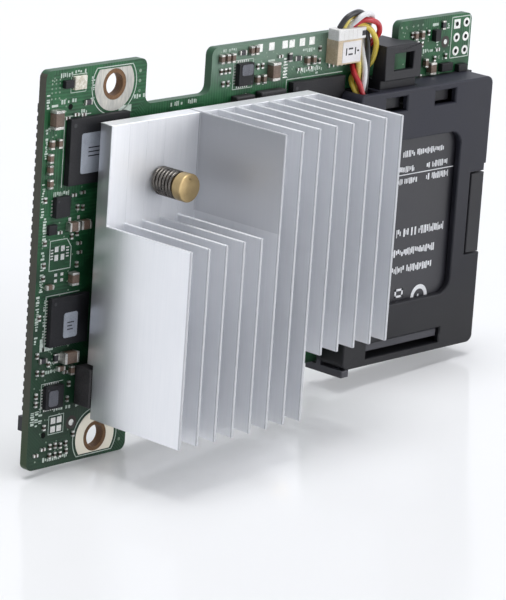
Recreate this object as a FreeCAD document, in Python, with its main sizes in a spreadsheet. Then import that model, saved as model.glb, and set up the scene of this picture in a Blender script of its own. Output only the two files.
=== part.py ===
# Server storage controller card: notched circuit board, finned heat sink, battery holder and lead.
# The card stands on its long edge. X runs along the board from the connector end to the battery end,
# Y runs from the component side to the back, Z runs up the board's short side. The origin is midway
# between the two screw holes, on the board's back face. Millimetres.
import FreeCAD, Part
import math
import os
import re

import Sketcher

V = FreeCAD.Vector
doc = FreeCAD.newDocument("controller_card")
sheet = doc.addObject("Spreadsheet::Sheet", "dims")

# "left" and "low" are measured from the board's left end and bottom edge, "out" from its component
# face towards the viewer. A "side", "rise", "drop" or "inset" is measured from the piece or edge that
# PLACES below names.
SIZES = {
    # circuit board
    "board_length": 106.0, "board_height": 68.0, "board_thick": 1.57,
    "left_tab": 22.9, "left_notch": 7.86, "middle_tab_inset": 67.6, "clip_notch": 5.8,
    "clip_notch_inset": 30.2, "right_tab": 20.0, "board_corner": 1.3, "notch_corner": 1.6,
    "hole_inset": 15.5, "hole_edge": 3.65, "hole_radius": 2.0,
    "ring_radius": 4.5, "ring_flat": 2.75, "ring_eye": 2.65, "ring_film": 0.06,
    # mezzanine connector on the back
    "connector_left": 4.4, "connector_low": 7.8, "connector_wide": 5.0, "connector_deep": 4.5,
    "tooth_pitch": 1.42, "tooth_tall": 0.85, "tooth_reach": 0.35, "tooth_count": 37,
    "tooth_margin": 0.715, "slot_wide": 2.4, "slot_deep": 3.4, "slot_margin": 0.19,
    "contact_thick": 0.3, "contact_tall": 0.5, "contact_deep": 2.9,
    "guide_reach": 1.1, "guide_tall": 2.6, "end_tall": 1.3,
    # heat sink and its pins
    "sink_left": 10.1, "sink_right_gap": 46.0, "sink_low": 8.55, "sink_top_gap": 8.95,
    "sink_gap": 2.8, "sink_base": 2.75, "fin_reach": 19.45, "fin_thick": 0.56, "fin_count": 13,
    "cut_fins": 5, "upper_cut": 17.0, "lower_cut": 10.8, "cut_margin": 1.0,
    "relief_side": 0.8, "relief_gap": 0.2, "pin_side": 11.8, "pin_drop": 10.55,
    "pin_radius": 1.25, "pin_clearance": 0.25, "head_radius": 2.45, "head_thick": 1.9,
    "barb_radius": 1.95, "barb_deep": 2.2, "barb_tip": 0.7,
    "spring_tall": 5.05, "spring_radius": 2.45, "spring_wire": 0.6, "spring_turns": 6.0,
    # processor under the heat sink
    "processor_wide": 25.0, "substrate_thick": 1.2, "lid_inset": 2.0, "thermal_thick": 0.5,
    "thermal_inset": 0.5,
    # memory chips and labels
    "memory_wide": 13.4, "memory_tall": 11.2, "memory_thick": 1.2, "memory_a_left": 5.0,
    "memory_a_drop": 19.5, "memory_b_inset": 48.1, "memory_b_drop": 19.0, "label_thick": 0.08,
    # power inductor, partly under the heat sink
    "inductor_left": 10.0, "inductor_low": 10.2, "inductor_wide": 6.8, "inductor_thick": 3.9,
    # battery socket and plug
    "socket_inset": 39.0, "socket_drop": 5.4, "socket_wide": 6.2, "socket_tall": 4.4,
    "socket_deep": 2.8, "socket_wall": 0.5, "socket_floor": 0.8, "plug_clearance": 0.1,
    "plug_overhang": 0.45, "plug_flange": 2.0, "plug_front": 3.2, "plug_back": 0.6,
    "wire_pitch": 1.1, "wire_radius": 0.5, "tail_wide": 0.3, "tail_reach": 0.9, "tail_thick": 0.25,
    # battery holder
    "cover_wide": 35.6, "cover_overhang": 0.56, "cover_top_gap": 10.6, "cover_front": 6.3,
    "cover_wall": 1.1, "cover_corner": 1.4, "tray_plate": 1.0, "chip_clearance": 0.2,
    "window_side": 9.0, "window_end": 7.8, "window_rise": 10.6, "window_drop": 9.3,
    "window_corner": 2.6, "hatch_a_side": 6.6, "hatch_b_side": 19.8, "hatch_drop": 3.8,
    "hatch_wide": 5.6, "hatch_tall": 2.6, "hatch_setback": 0.6,
    "lug_slot_side": 6.2, "lug_slot_rise": 1.3, "lug_slot_wide": 19.9, "lug_slot_tall": 2.8,
    "lug_rise": 1.1, "lug_gap": 0.2, "lug_entry": 0.4,
    "latch_wide": 4.2, "latch_rise": 17.1, "latch_tall": 15.4, "latch_gap": 0.25,
    "latch_inset": 0.45, "latch_notch": 1.3, "latch_wall": 1.1,
    "clip_inset": 28.5, "clip_wide": 9.5, "clip_ledge": 1.6, "clip_drop": 2.7, "clip_front": 5.0,
    "clip_back": 2.1, "clip_wall": 1.1, "clip_window_side": 2.3, "clip_window_rise": 1.7,
    "clip_window_tall": 3.1, "clip_corner": 1.2, "clip_root": 4.5, "clip_clearance": 0.25,
    "hook_wide": 7.1, "hook_thick": 1.1, "hook_reach": 1.0, "hook_drop": 5.0,
    "foot_wide": 1.8, "foot_thick": 1.3, "foot_rise": 4.0, "gate_side": 1.2, "gate_wide": 4.6,
    # battery pack
    "pack_side": 5.2, "pack_end": 4.8, "pack_rise": 5.1, "pack_drop": 4.2, "pack_gap": 0.3,
    "pack_round": 1.2, "sticker_thick": 0.1, "sticker_inset": 1.4,
    "guard_side": 1.4, "guard_gap": 0.2, "guard_rise": 12.7, "guard_tall": 24.0,
    "guard_thick": 3.6,
}
# Places and spans that follow from the sizes
PLACES = {
    "middle_start": "board_length - middle_tab_inset",
    "middle_end": "board_length - clip_notch_inset",
    "right_start": "board_length - right_tab",
    "connector_tall": "tooth_pitch * (tooth_count - 1) + tooth_tall + 2 * tooth_margin",
    "contact_start": "connector_low + tooth_margin + (tooth_tall - contact_tall) / 2",
    "slot_low": "contact_start - slot_margin",
    "slot_tall": "tooth_pitch * (tooth_count - 1) + contact_tall + 2 * slot_margin",
    "sink_wide": "board_length - sink_left - sink_right_gap",
    "sink_tall": "board_height - sink_low - sink_top_gap",
    "pin_left": "sink_left + pin_side",
    "pin_low": "sink_low + sink_tall - pin_drop",
    "memory_a_low": "board_height - memory_a_drop",
    "memory_b_left": "board_length - memory_b_inset",
    "memory_b_low": "board_height - memory_b_drop",
    "socket_left": "board_length - socket_inset",
    "socket_low": "board_height - socket_drop",
    "cover_left": "board_length - cover_wide",
    "cover_low": "left_notch - cover_overhang",
    "cover_tall": "board_height - cover_top_gap - cover_low",
    "window_left": "cover_left + window_side",
    "window_low": "cover_low + window_rise",
    "window_wide": "cover_wide - window_side - window_end",
    "window_tall": "cover_tall - window_rise - window_drop",
    "hatch_a_left": "cover_left + hatch_a_side",
    "hatch_b_left": "cover_left + hatch_b_side",
    "hatch_low": "cover_low + cover_tall - hatch_drop",
    "lug_slot_left": "cover_left + lug_slot_side",
    "lug_slot_low": "cover_low + lug_slot_rise",
    "latch_left": "board_length - latch_wide",
    "latch_low": "cover_low + latch_rise",
    "clip_left": "board_length - clip_inset",
    "clip_step": "cover_low + cover_tall + clip_ledge",
    "clip_top": "board_height - clip_drop",
    "clip_window_low": "clip_step + clip_window_rise",
    "gate_left": "cover_left + gate_side",
    "pack_left": "cover_left + pack_side",
    "pack_low": "cover_low + pack_rise",
    "pack_wide": "cover_wide - pack_side - pack_end",
    "pack_tall": "cover_tall - pack_rise - pack_drop",
    "pack_thick": "cover_front - cover_wall - tray_plate - pack_gap",
    "guard_left": "cover_left + guard_side",
    "guard_low": "cover_low + guard_rise",
    "guard_wide": "pack_side - guard_side - guard_gap",
}
for line, (alias, value) in enumerate(SIZES.items(), 1):
    sheet.set("A%d" % line, alias)
    sheet.set("B%d" % line, str(value))
    sheet.setAlias("B%d" % line, alias)
gauge = doc.addObject("App::FeaturePython", "gauge")
gauge.addProperty("App::PropertyFloat", "Reading")
doc.recompute()

nodes = []


def formula(words):
    """Plain words such as "sink_low + sink_tall" as an expression on the sheet."""
    words = str(words)
    while any(word in PLACES for word in re.findall(r"[a-z_]+", words)):
        words = re.sub(r"[a-z_]+", lambda m: "(%s)" % PLACES[m[0]] if m[0] in PLACES else m[0], words)
    return re.sub(r"[a-z_]+", lambda m: "dims." + m[0], words)


def dim(words):
    """The present value of a size or of an expression in plain words."""
    gauge.setExpression("Reading", formula(words))
    gauge.recompute()
    return gauge.Reading


def keep(name, obj):
    """Name a finished piece; its label names its file."""
    obj.Label = name
    nodes.append(obj)
    return obj


def place(obj, left, low, out):
    """Set a primitive's corner or centre, with "out" towards the viewer."""
    obj.setExpression("Placement.Base.x", formula("(%s) - hole_inset" % left))
    obj.setExpression("Placement.Base.y", formula("-board_thick - (%s)" % out))
    obj.setExpression("Placement.Base.z", formula("(%s) - board_height / 2" % low))
    return obj


def block(name, left, low, out, wide, tall, deep):
    """A box from its left, low, back corner."""
    obj = doc.addObject("Part::Box", name)
    for prop, words in (("Length", wide), ("Width", deep), ("Height", tall)):
        obj.setExpression(prop, formula(words))
    return place(obj, left, low, "(%s) + (%s)" % (out, deep))


def rod(name, left, low, out, radius, deep, tip=None):
    """A cylinder, or a cone that ends in a smaller tip, square to the board."""
    obj = doc.addObject("Part::Cone" if tip else "Part::Cylinder", name)
    for prop, words in (("Radius1", radius), ("Radius2", tip)) if tip else (("Radius", radius),):
        obj.setExpression(prop, formula(words))
    obj.setExpression("Height", formula(deep))
    obj.Placement.Rotation = FreeCAD.Rotation(V(1, 0, 0), 90)
    return place(obj, left, low, out)


def join(name, members):
    obj = doc.addObject("Part::MultiFuse", name)
    obj.Shapes = members
    obj.Refine = True
    return obj


def cut(name, base, tool):
    obj = doc.addObject("Part::Cut", name)
    obj.Base = base
    obj.Tool = tool
    obj.Refine = True
    return obj


def group(name, members):
    """Separate solids that share one file."""
    obj = doc.addObject("Part::Compound", name)
    obj.Links = members
    return obj


def soften(name, base, radius, chosen):
    """Round the edges that the test picks."""
    doc.recompute()
    obj = doc.addObject("Part::Fillet", name)
    obj.Base = base
    picked = [i for i, edge in enumerate(base.Shape.Edges, 1) if chosen(edge)]
    obj.Edges = [(i, radius, radius) for i in picked]
    return obj


def direction(edge):
    run = edge.Vertexes[-1].Point - edge.Vertexes[0].Point
    return run.normalize() if run.Length else run


def along_y(edge):
    return abs(direction(edge).y) > 0.999


def at_corner(edge, left, low):
    """True for an edge square to the board that stands at this corner."""
    point = edge.Vertexes[0].Point
    return (along_y(edge) and abs(point.x - (left - dim("hole_inset"))) < 0.01
            and abs(point.z - (low - dim("board_height") / 2)) < 0.01)


def rectangle(left, low, wide, tall):
    right, high = "(%s) + (%s)" % (left, wide), "(%s) + (%s)" % (low, tall)
    return [(left, low), (right, low), (right, high), (left, high)]


def outline(body, name, out, corners=(), circles=()):
    """A sketch square to Y, with every corner and centre pinned to sizes in the sheet."""
    sketch = body.newObject("Sketcher::SketchObject", name)
    plane = [f for f in body.Origin.OriginFeatures if f.Role == "XZ_Plane"][0]
    sketch.AttachmentSupport = [(plane, "")]
    sketch.MapMode = "FlatFace"
    sketch.setExpression("AttachmentOffset.Base.x", formula("-hole_inset"))
    sketch.setExpression("AttachmentOffset.Base.y", formula("-board_height / 2"))
    sketch.setExpression("AttachmentOffset.Base.z", formula("board_thick + (%s)" % out))
    count = len(corners)
    ring = [V(10 * math.cos(a), 10 * math.sin(a), 0) for a in
            (2 * math.pi * i / count for i in range(count))]
    for i in range(count):
        sketch.addGeometry(Part.LineSegment(ring[i], ring[(i + 1) % count]), False)
    for i in range(count):
        sketch.addConstraint(Sketcher.Constraint("Coincident", i, 2, (i + 1) % count, 1))
    pinned = [(i, 1, corner) for i, corner in enumerate(corners)]
    for i, (left, low, radius) in enumerate(circles, count):
        sketch.addGeometry(Part.Circle(V(5 * i, 5, 0), V(0, 0, 1), 1), False)
        place_in = sketch.addConstraint(Sketcher.Constraint("Radius", i, 1.0))
        sketch.setExpression("Constraints[%d]" % place_in, formula(radius))
        pinned.append((i, 3, (left, low)))
    for i, spot, (left, low) in pinned:
        for kind, words in (("DistanceX", left), ("DistanceY", low)):
            k = sketch.addConstraint(Sketcher.Constraint(kind, -1, 1, i, spot, 0.0 if words == "0" else 1.0))
            if words != "0":
                sketch.setExpression("Constraints[%d]" % k, formula(words))
    return sketch


def pad(body, sketch, length):
    doc.recompute()
    feature = body.newObject("PartDesign::Pad", sketch.Name + "_pad")
    feature.Profile = sketch
    feature.setExpression("Length", formula(length))
    return feature


def pocket(body, sketch, depth):
    """Cut from the sketch towards the viewer, and make sure that something was cut."""
    doc.recompute()
    before = body.Shape.Volume
    feature = body.newObject("PartDesign::Pocket", sketch.Name + "_cut")
    feature.Profile = sketch
    feature.Reversed = True
    feature.setExpression("Length", formula(depth))
    doc.recompute()
    if not body.Shape.Volume < before - 1e-6:
        raise ValueError(sketch.Name + " cuts nothing")
    return feature


def row(body, feature, sketch, axis, count, length):
    """Repeat a feature along the sketch's own axis."""
    doc.recompute()
    pattern = body.newObject("PartDesign::LinearPattern", feature.Name + "_row")
    pattern.Originals = [feature]
    pattern.Direction = (sketch, [axis])
    pattern.setExpression("Occurrences", formula(count))
    pattern.setExpression("Length", formula(length))
    body.Tip = pattern
    return pattern


def fillet(body, radius, chosen):
    doc.recompute()
    base = body.Tip
    picked = ["Edge%d" % i for i, edge in enumerate(base.Shape.Edges, 1) if chosen(edge)]
    feature = body.newObject("PartDesign::Fillet", base.Name + "_round")
    feature.Base = (base, picked)
    feature.setExpression("Radius", formula(radius))
    return feature


# Circuit board: a laminate with notches beside its left tabs and a notch for the battery clip
PIN_SPOTS = [("pin_left", "pin_low"),
             ("2 * sink_left + sink_wide - pin_left", "sink_low + lower_cut / 2")]
HOLE_LOWS = ["hole_edge", "board_height - hole_edge"]


def circuit_board():
    body = doc.addObject("PartDesign::Body", "circuit_board")
    top, notch = "board_height", "board_height - left_notch"
    corners = [("0", "0"), ("left_tab", "0"), ("left_tab", "left_notch"), ("board_length", "left_notch"),
               ("board_length", top), ("right_start", top), ("right_start", "board_height - clip_notch"),
               ("middle_end", "board_height - clip_notch"), ("middle_end", top), ("middle_start", top),
               ("middle_start", notch), ("left_tab", notch), ("left_tab", top), ("0", top)]
    pad(body, outline(body, "board_outline", "-board_thick", corners), "board_thick")
    holes = [("hole_inset", low, "hole_radius") for low in HOLE_LOWS]
    holes += [(left, low, "pin_radius + pin_clearance") for left, low in PIN_SPOTS]
    pocket(body, outline(body, "board_holes", "-board_thick", circles=holes), "board_thick")
    inner = [(dim(left), dim(low)) for left, low in (corners[2], corners[6], corners[7], corners[10],
                                                     corners[11])]
    outer = [(dim(left), dim(low)) for left, low in corners if (dim(left), dim(low)) not in inner]
    fillet(body, "notch_corner", lambda edge: any(at_corner(edge, *spot) for spot in inner))
    fillet(body, "board_corner", lambda edge: any(at_corner(edge, *spot) for spot in outer))
    keep("circuit_board", body)


def screw_rings():
    """Thin plated rings round the screw holes, flat on the side of the board's edge."""
    rings = []
    for i, low in enumerate(HOLE_LOWS):
        side = "-" if i == 0 else "+"
        disc = rod("ring_disc_%d" % i, "hole_inset", low, "0", "ring_radius", "ring_film")
        eye = rod("ring_eye_%d" % i, "hole_inset", low, "0", "ring_eye", "ring_film")
        flat_low = "%s %s ring_flat" % (low, side)
        if i == 0:
            flat_low += " - ring_radius"
        flat = block("ring_flat_%d" % i, "hole_inset - ring_radius", flat_low, "0", "2 * ring_radius",
                     "ring_radius", "ring_film")
        rings.append(cut("ring_%d" % i, disc, join("ring_tool_%d" % i, [eye, flat])))
    keep("screw_hole_rings", group("screw_hole_rings", rings))


# Mezzanine connector: a toothed housing with a guide block at its lower end and two rows of contacts
def mezzanine_connector():
    back = "-board_thick - connector_deep"
    body = doc.addObject("PartDesign::Body", "connector_housing")
    core = outline(body, "housing_core", back, rectangle("connector_left", "connector_low",
                                                         "connector_wide", "connector_tall"))
    pad(body, core, "connector_deep")
    ends = (("lower_guide", "connector_low - guide_tall", "guide_reach", "guide_tall"),
            ("upper_end", "connector_low + connector_tall - end_tall", "tooth_reach", "end_tall"))
    for name, low, reach, tall in ends:
        block_sketch = outline(body, name, back, rectangle("connector_left - " + reach, low,
                                                           "connector_wide + 2 * " + reach, tall))
        pad(body, block_sketch, "connector_deep")
    tooth = outline(body, "tooth", back, rectangle("connector_left - tooth_reach",
                                                   "connector_low + tooth_margin",
                                                   "connector_wide + 2 * tooth_reach", "tooth_tall"))
    row(body, pad(body, tooth, "connector_deep"), tooth, "V_Axis", "tooth_count",
        "tooth_pitch * (tooth_count - 1)")
    slot = outline(body, "mating_slot", back, rectangle(
        "connector_left + (connector_wide - slot_wide) / 2", "slot_low", "slot_wide", "slot_tall"))
    pocket(body, slot, "slot_deep")
    keep("mezzanine_connector_housing", body)

    contacts = doc.addObject("PartDesign::Body", "connector_contacts")
    spare = "(connector_wide - slot_wide) / 2"
    for name, left in (("left_contacts", "connector_left + %s" % spare),
                       ("right_contacts", "connector_left + connector_wide - %s - contact_thick" % spare)):
        foot = "-board_thick - connector_deep + slot_deep - contact_deep"
        blade = outline(contacts, name, foot, rectangle(left, "contact_start", "contact_thick",
                                                        "contact_tall"))
        row(contacts, pad(contacts, blade, "contact_deep"), blade, "V_Axis", "tooth_count",
            "tooth_pitch * (tooth_count - 1)")
    keep("mezzanine_connector_contacts", contacts)


# Heat sink: one extrusion whose fins are machined away at two corners for the sprung pins
def heat_sink():
    body = doc.addObject("PartDesign::Body", "heat_sink")
    plate = outline(body, "sink_plate", "sink_gap",
                    rectangle("sink_left", "sink_low", "sink_wide", "sink_tall"))
    pad(body, plate, "sink_base")
    fin_root = "sink_gap + sink_base"
    fin = outline(body, "fin", fin_root, rectangle("sink_left", "sink_low", "fin_thick", "sink_tall"))
    row(body, pad(body, fin, "fin_reach"), fin, "H_Axis", "fin_count", "sink_wide - fin_thick")
    pitch = "(sink_wide - fin_thick) / (fin_count - 1)"
    cleared = "cut_fins * %s - (%s - fin_thick) / 2 + cut_margin" % (pitch, pitch)
    upper = outline(body, "upper_corner", fin_root, rectangle(
        "sink_left - cut_margin", "sink_low + sink_tall - upper_cut", cleared, "upper_cut + cut_margin"))
    pocket(body, upper, "fin_reach + cut_margin")
    lower = outline(body, "lower_corner", fin_root, rectangle(
        "sink_left + sink_wide + cut_margin - (%s)" % cleared, "sink_low - cut_margin", cleared,
        "lower_cut + cut_margin"))
    pocket(body, lower, "fin_reach + cut_margin")
    holes = [(left, low, "pin_radius + pin_clearance") for left, low in PIN_SPOTS]
    pocket(body, outline(body, "sink_holes", "sink_gap", circles=holes), "sink_base")
    # shallow relief in the back, at the lower left corner, for the tall inductor
    relief = outline(body, "inductor_relief", "sink_gap", rectangle(
        "sink_left - cut_margin", "sink_low - cut_margin",
        "inductor_left + inductor_wide + relief_side - sink_left + cut_margin",
        "inductor_low + inductor_wide + relief_side - sink_low + cut_margin"))
    pocket(body, relief, "inductor_thick + relief_gap - sink_gap")
    keep("heat_sink", body)


def push_pins():
    """Brass pins: a head on the spring, a shank through sink and board, a barb behind the board."""
    seat = "sink_gap + sink_base + spring_tall"
    pins = []
    for i, (left, low) in enumerate(PIN_SPOTS):
        head = rod("pin_head_%d" % i, left, low, seat, "head_radius", "head_thick")
        shank = rod("pin_shank_%d" % i, left, low, "-board_thick", "pin_radius", "%s + board_thick" % seat)
        barb = rod("pin_barb_%d" % i, left, low, "-board_thick - barb_deep", "barb_tip", "barb_deep",
                   tip="barb_radius")
        pins.append(join("push_pin_%d" % i, [head, shank, barb]))
    keep("heat_sink_pins", group("heat_sink_pins", pins))


def coil(radius, wire_radius, tall, turns, steps=14, sides=6):
    """A coil spring with facets: its rings of points follow a helix along -Y."""
    rings = []
    climb = (tall - 2 * wire_radius) / (turns * 2 * math.pi)
    for k in range(int(turns * steps) + 1):
        a = 2 * math.pi * k / steps
        centre = V(radius * math.cos(a), -wire_radius - climb * a, radius * math.sin(a))
        along = V(-radius * math.sin(a), -climb, radius * math.cos(a)).normalize()
        radial = V(math.cos(a), 0, math.sin(a))
        side = along.cross(radial)
        turn = [2 * math.pi * j / sides for j in range(sides)]
        rings.append([centre + radial * (wire_radius * math.cos(t)) + side * (wire_radius * math.sin(t))
                      for t in turn])
    faces = []

    def facet(*points):
        faces.append(Part.Face(Part.makePolygon(list(points) + [points[0]])))
    for low, high in zip(rings, rings[1:]):
        for j in range(sides):
            n = (j + 1) % sides
            facet(low[j], low[n], high[n])
            facet(low[j], high[n], high[j])
    for end in (rings[0], rings[-1]):
        for j in range(1, sides - 1):
            facet(end[0], end[j], end[j + 1])
    solid = Part.Solid(Part.Shell(faces))
    if solid.Volume < 0:
        solid.reverse()
    return solid


def pin_springs():
    wire = dim("spring_wire") / 2
    one = coil(dim("spring_radius") - wire, wire, dim("spring_tall"), dim("spring_turns"))
    springs = []
    for left, low in ((dim("pin_left"), dim("pin_low")),
                      (2 * dim("sink_left") + dim("sink_wide") - dim("pin_left"),
                       dim("sink_low") + dim("lower_cut") / 2)):
        copy = one.copy()
        copy.translate(V(left - dim("hole_inset"),
                         -dim("board_thick") - dim("sink_gap") - dim("sink_base"),
                         low - dim("board_height") / 2))
        springs.append(copy)
    feature = doc.addObject("Part::Feature", "pin_springs")
    feature.Shape = Part.makeCompound(springs)
    keep("pin_springs", feature)


# Processor: substrate, metal lid and thermal pad, stacked under the heat sink's middle
def processor():
    left = "sink_left + (sink_wide - processor_wide) / 2"
    low = "sink_low + (sink_tall - processor_wide) / 2"
    keep("processor_substrate", block("processor_substrate", left, low, "0", "processor_wide",
                                      "processor_wide", "substrate_thick"))
    lid_wide = "processor_wide - 2 * lid_inset"
    lid_thick = "sink_gap - thermal_thick - substrate_thick"
    keep("processor_lid", block("processor_lid", "%s + lid_inset" % left, "%s + lid_inset" % low,
                                "substrate_thick", lid_wide, lid_wide, lid_thick))
    soft_wide = "%s - 2 * thermal_inset" % lid_wide
    inset = "lid_inset + thermal_inset"
    keep("thermal_pad", block("thermal_pad", "%s + %s" % (left, inset), "%s + %s" % (low, inset),
                              "sink_gap - thermal_thick", soft_wide, soft_wide, "thermal_thick"))


# Chips that stand flat on the board: left, low, wide, tall, thick. A place below zero is measured
# back from the right end or down from the top edge.
MEMORY = [("memory_a_left", "memory_a_low"), ("memory_b_left", "memory_b_low")]
CHIPS = {
    "bridge_chip": (3.0, 21.2, 8.5, 8.4, 0.95),
    "lower_regulator_chip": (2.95, 10.4, 4.0, 4.0, 0.85),
    "upper_regulator_chip": (-61.6, -7.1, 3.6, 3.9, 0.95),
    "outline_chip": (2.9, -24.7, 3.2, 3.5, 0.95),
    "logic_chip": (1.8, -27.5, 1.8, 1.7, 0.7),
    "transistor_chip": (3.7, -3.1, 1.9, 1.3, 0.8),
    "status_light": (5.9, -3.6, 2.7, 2.3, 0.7),
    "power_inductor": ("inductor_left", "inductor_low", "inductor_wide", "inductor_wide",
                       "inductor_thick"),
}
# Small coils just above the heat sink's top edge
COILS = [(-62.4, -13.0, 4.4, 4.3, 1.6), (-56.4, -12.8, 6.2, 4.3, 1.7)]
DIODES = [(-10.8, -4.3, 1.5, 2.1, 1.0), (-8.4, -10.1, 3.0, 1.5, 1.0), (-3.7, -10.6, 2.3, 1.4, 1.0)]


def spot(left, low):
    """Turn places below zero into distances from the far end and the top edge."""
    if isinstance(left, str):
        return left, low
    return ("board_length + (%s)" % left if left < 0 else left,
            "board_height + (%s)" % low if low < 0 else low)


def chips():
    members = [block("memory_%d" % i, left, low, "0", "memory_wide", "memory_tall", "memory_thick")
               for i, (left, low) in enumerate(MEMORY)]
    keep("memory_chips", group("memory_chips", members))
    for name, (left, low, wide, tall, thick) in CHIPS.items():
        keep(name, block(name, *spot(left, low), "0", wide, tall, thick))
    for name, spots in (("filter_inductors", COILS), ("diodes", DIODES)):
        members = [block("%s_%d" % (name, i), *spot(left, low), "0", wide, tall, thick)
                   for i, (left, low, wide, tall, thick) in enumerate(spots)]
        keep(name, group(name, members))


def chip_labels():
    """Paper labels on the left memory chip, the bridge chip and the two regulators."""
    bridge, lower, upper = (CHIPS[k] for k in ("bridge_chip", "lower_regulator_chip",
                                               "upper_regulator_chip"))
    spots = [("memory_a_left + 2.5", "memory_a_low + 1.8", 8.0, 6.8, "memory_thick"),
             (bridge[0] + 2.9, bridge[1] + 1.3, 3.1, 4.3, bridge[4]),
             (lower[0] + 0.6, lower[1] + 0.5, 2.1, 2.7, lower[4]),
             (upper[0] + 0.6, upper[1] + 1.8, 2.7, 1.9, upper[4])]
    members = [block("label_%d" % i, *spot(left, low), out, wide, tall, "label_thick")
               for i, (left, low, wide, tall, out) in enumerate(spots)]
    keep("chip_labels", group("chip_labels", members))


# Two-ended chips: centre from the left, centre from the bottom, upright or not. Each has a body
# between two metal end caps.
LARGE_CAPACITORS = [(2.2, -8.0, True), (-52.8, -5.3, True), (7.9, 18.9, False)]
MEDIUM_CAPACITORS = [(7.2, -26.6, False), (9.9, -26.6, False), (8.0, 32.4, True), (-10.9, -9.2, True)]
SMALL_CAPACITORS = [(1.6, -12.2, True), (3.3, -12.2, True), (1.5, -14.5, True), (1.5, -16.4, True),
                    (1.7, -18.8, True), (2.7, 31.6, False), (6.3, 17.1, False), (-65.6, -2.0, True),
                    (-64.2, -2.0, True), (-62.9, -2.0, True), (-58.4, -1.2, True), (-57.2, -1.2, True),
                    (-56.5, -6.5, True), (-54.9, -6.5, True), (-44.1, -4.4, True), (-42.5, -4.4, True),
                    (-15.7, -2.8, True), (-14.0, -2.8, True), (8.9, 16.4, True), (-12.4, -8.1, True)]
RESISTORS = [(9.5, -6.0, False), (2.3, 19.0, False), (-46.4, -3.8, False), (-48.4, -3.4, True),
             (5.2, 19.0, True), (-60.4, -1.4, False), (-8.0, -1.6, True)]
KINDS = {"large_capacitors": (LARGE_CAPACITORS, 3.2, 1.9, 1.5, 0.5),
         "medium_capacitors": (MEDIUM_CAPACITORS, 2.2, 1.5, 1.2, 0.4),
         "small_capacitors": (SMALL_CAPACITORS, 1.6, 0.8, 0.8, 0.35),
         "chip_resistors": (RESISTORS, 1.6, 0.85, 0.5, 0.3)}


def two_ended_chips():
    caps = []
    for name, (spots, length, width, thick, end) in KINDS.items():
        bodies = []
        for i, (x, z, upright) in enumerate(spots):
            core = length - 2 * end
            wide, tall = (width, core) if upright else (core, width)
            bodies.append(block("%s_%d" % (name, i), *spot(x - wide / 2, z - tall / 2), "0", wide, tall,
                                thick))
            cap_wide, cap_tall = (width, end) if upright else (end, width)
            for side in (-1, 1):
                shift = side * (core + end) / 2
                cap_x, cap_z = (x, z + shift) if upright else (x + shift, z)
                caps.append(block("%s_end_%d_%d" % (name, i, (side + 1) // 2),
                                  *spot(cap_x - cap_wide / 2, cap_z - cap_tall / 2), "0", cap_wide,
                                  cap_tall, thick))
        keep(name, group(name, bodies))
    keep("chip_end_caps", group("chip_end_caps", caps))


# Battery socket, lying on the board with its mouth towards the top edge, and the plug in it
def battery_socket():
    body = doc.addObject("PartDesign::Body", "battery_socket")
    shell = outline(body, "socket_shell", "0",
                    rectangle("socket_left", "socket_low", "socket_wide", "socket_tall"))
    pad(body, shell, "socket_deep")
    mouth = outline(body, "socket_mouth", "socket_wall", rectangle(
        "socket_left + socket_wall", "socket_low + socket_floor", "socket_wide - 2 * socket_wall",
        "socket_tall - socket_floor + cut_margin"))
    pocket(body, mouth, "socket_deep - 2 * socket_wall")
    keep("battery_socket", body)
    tails = []
    for i in range(5):
        left = "socket_left + socket_wide / 2 + (%d) * wire_pitch - tail_wide / 2" % (i - 2)
        tails.append(block("tail_%d" % i, left, "socket_low - tail_reach", "0", "tail_wide",
                           "tail_reach", "tail_thick"))
    keep("battery_socket_tails", group("battery_socket_tails", tails))
    keep("socket_sticker", block("socket_sticker", "socket_left + 1.2", "socket_low + 0.3",
                                 "socket_deep", "socket_wide - 1.5", "socket_tall - 0.7", "label_thick"))


def battery_plug():
    inset = "socket_wall + plug_clearance"
    tongue = block("plug_tongue", "socket_left + %s" % inset, "socket_low + socket_floor", inset,
                   "socket_wide - 2 * (%s)" % inset, "socket_tall - socket_floor",
                   "socket_deep - 2 * (%s)" % inset)
    flange = block("plug_flange", "socket_left - plug_overhang", "socket_low + socket_tall", "plug_back",
                   "socket_wide + 2 * plug_overhang", "plug_flange", "plug_front - plug_back")
    keep("battery_plug", join("battery_plug", [tongue, flange]))


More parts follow.
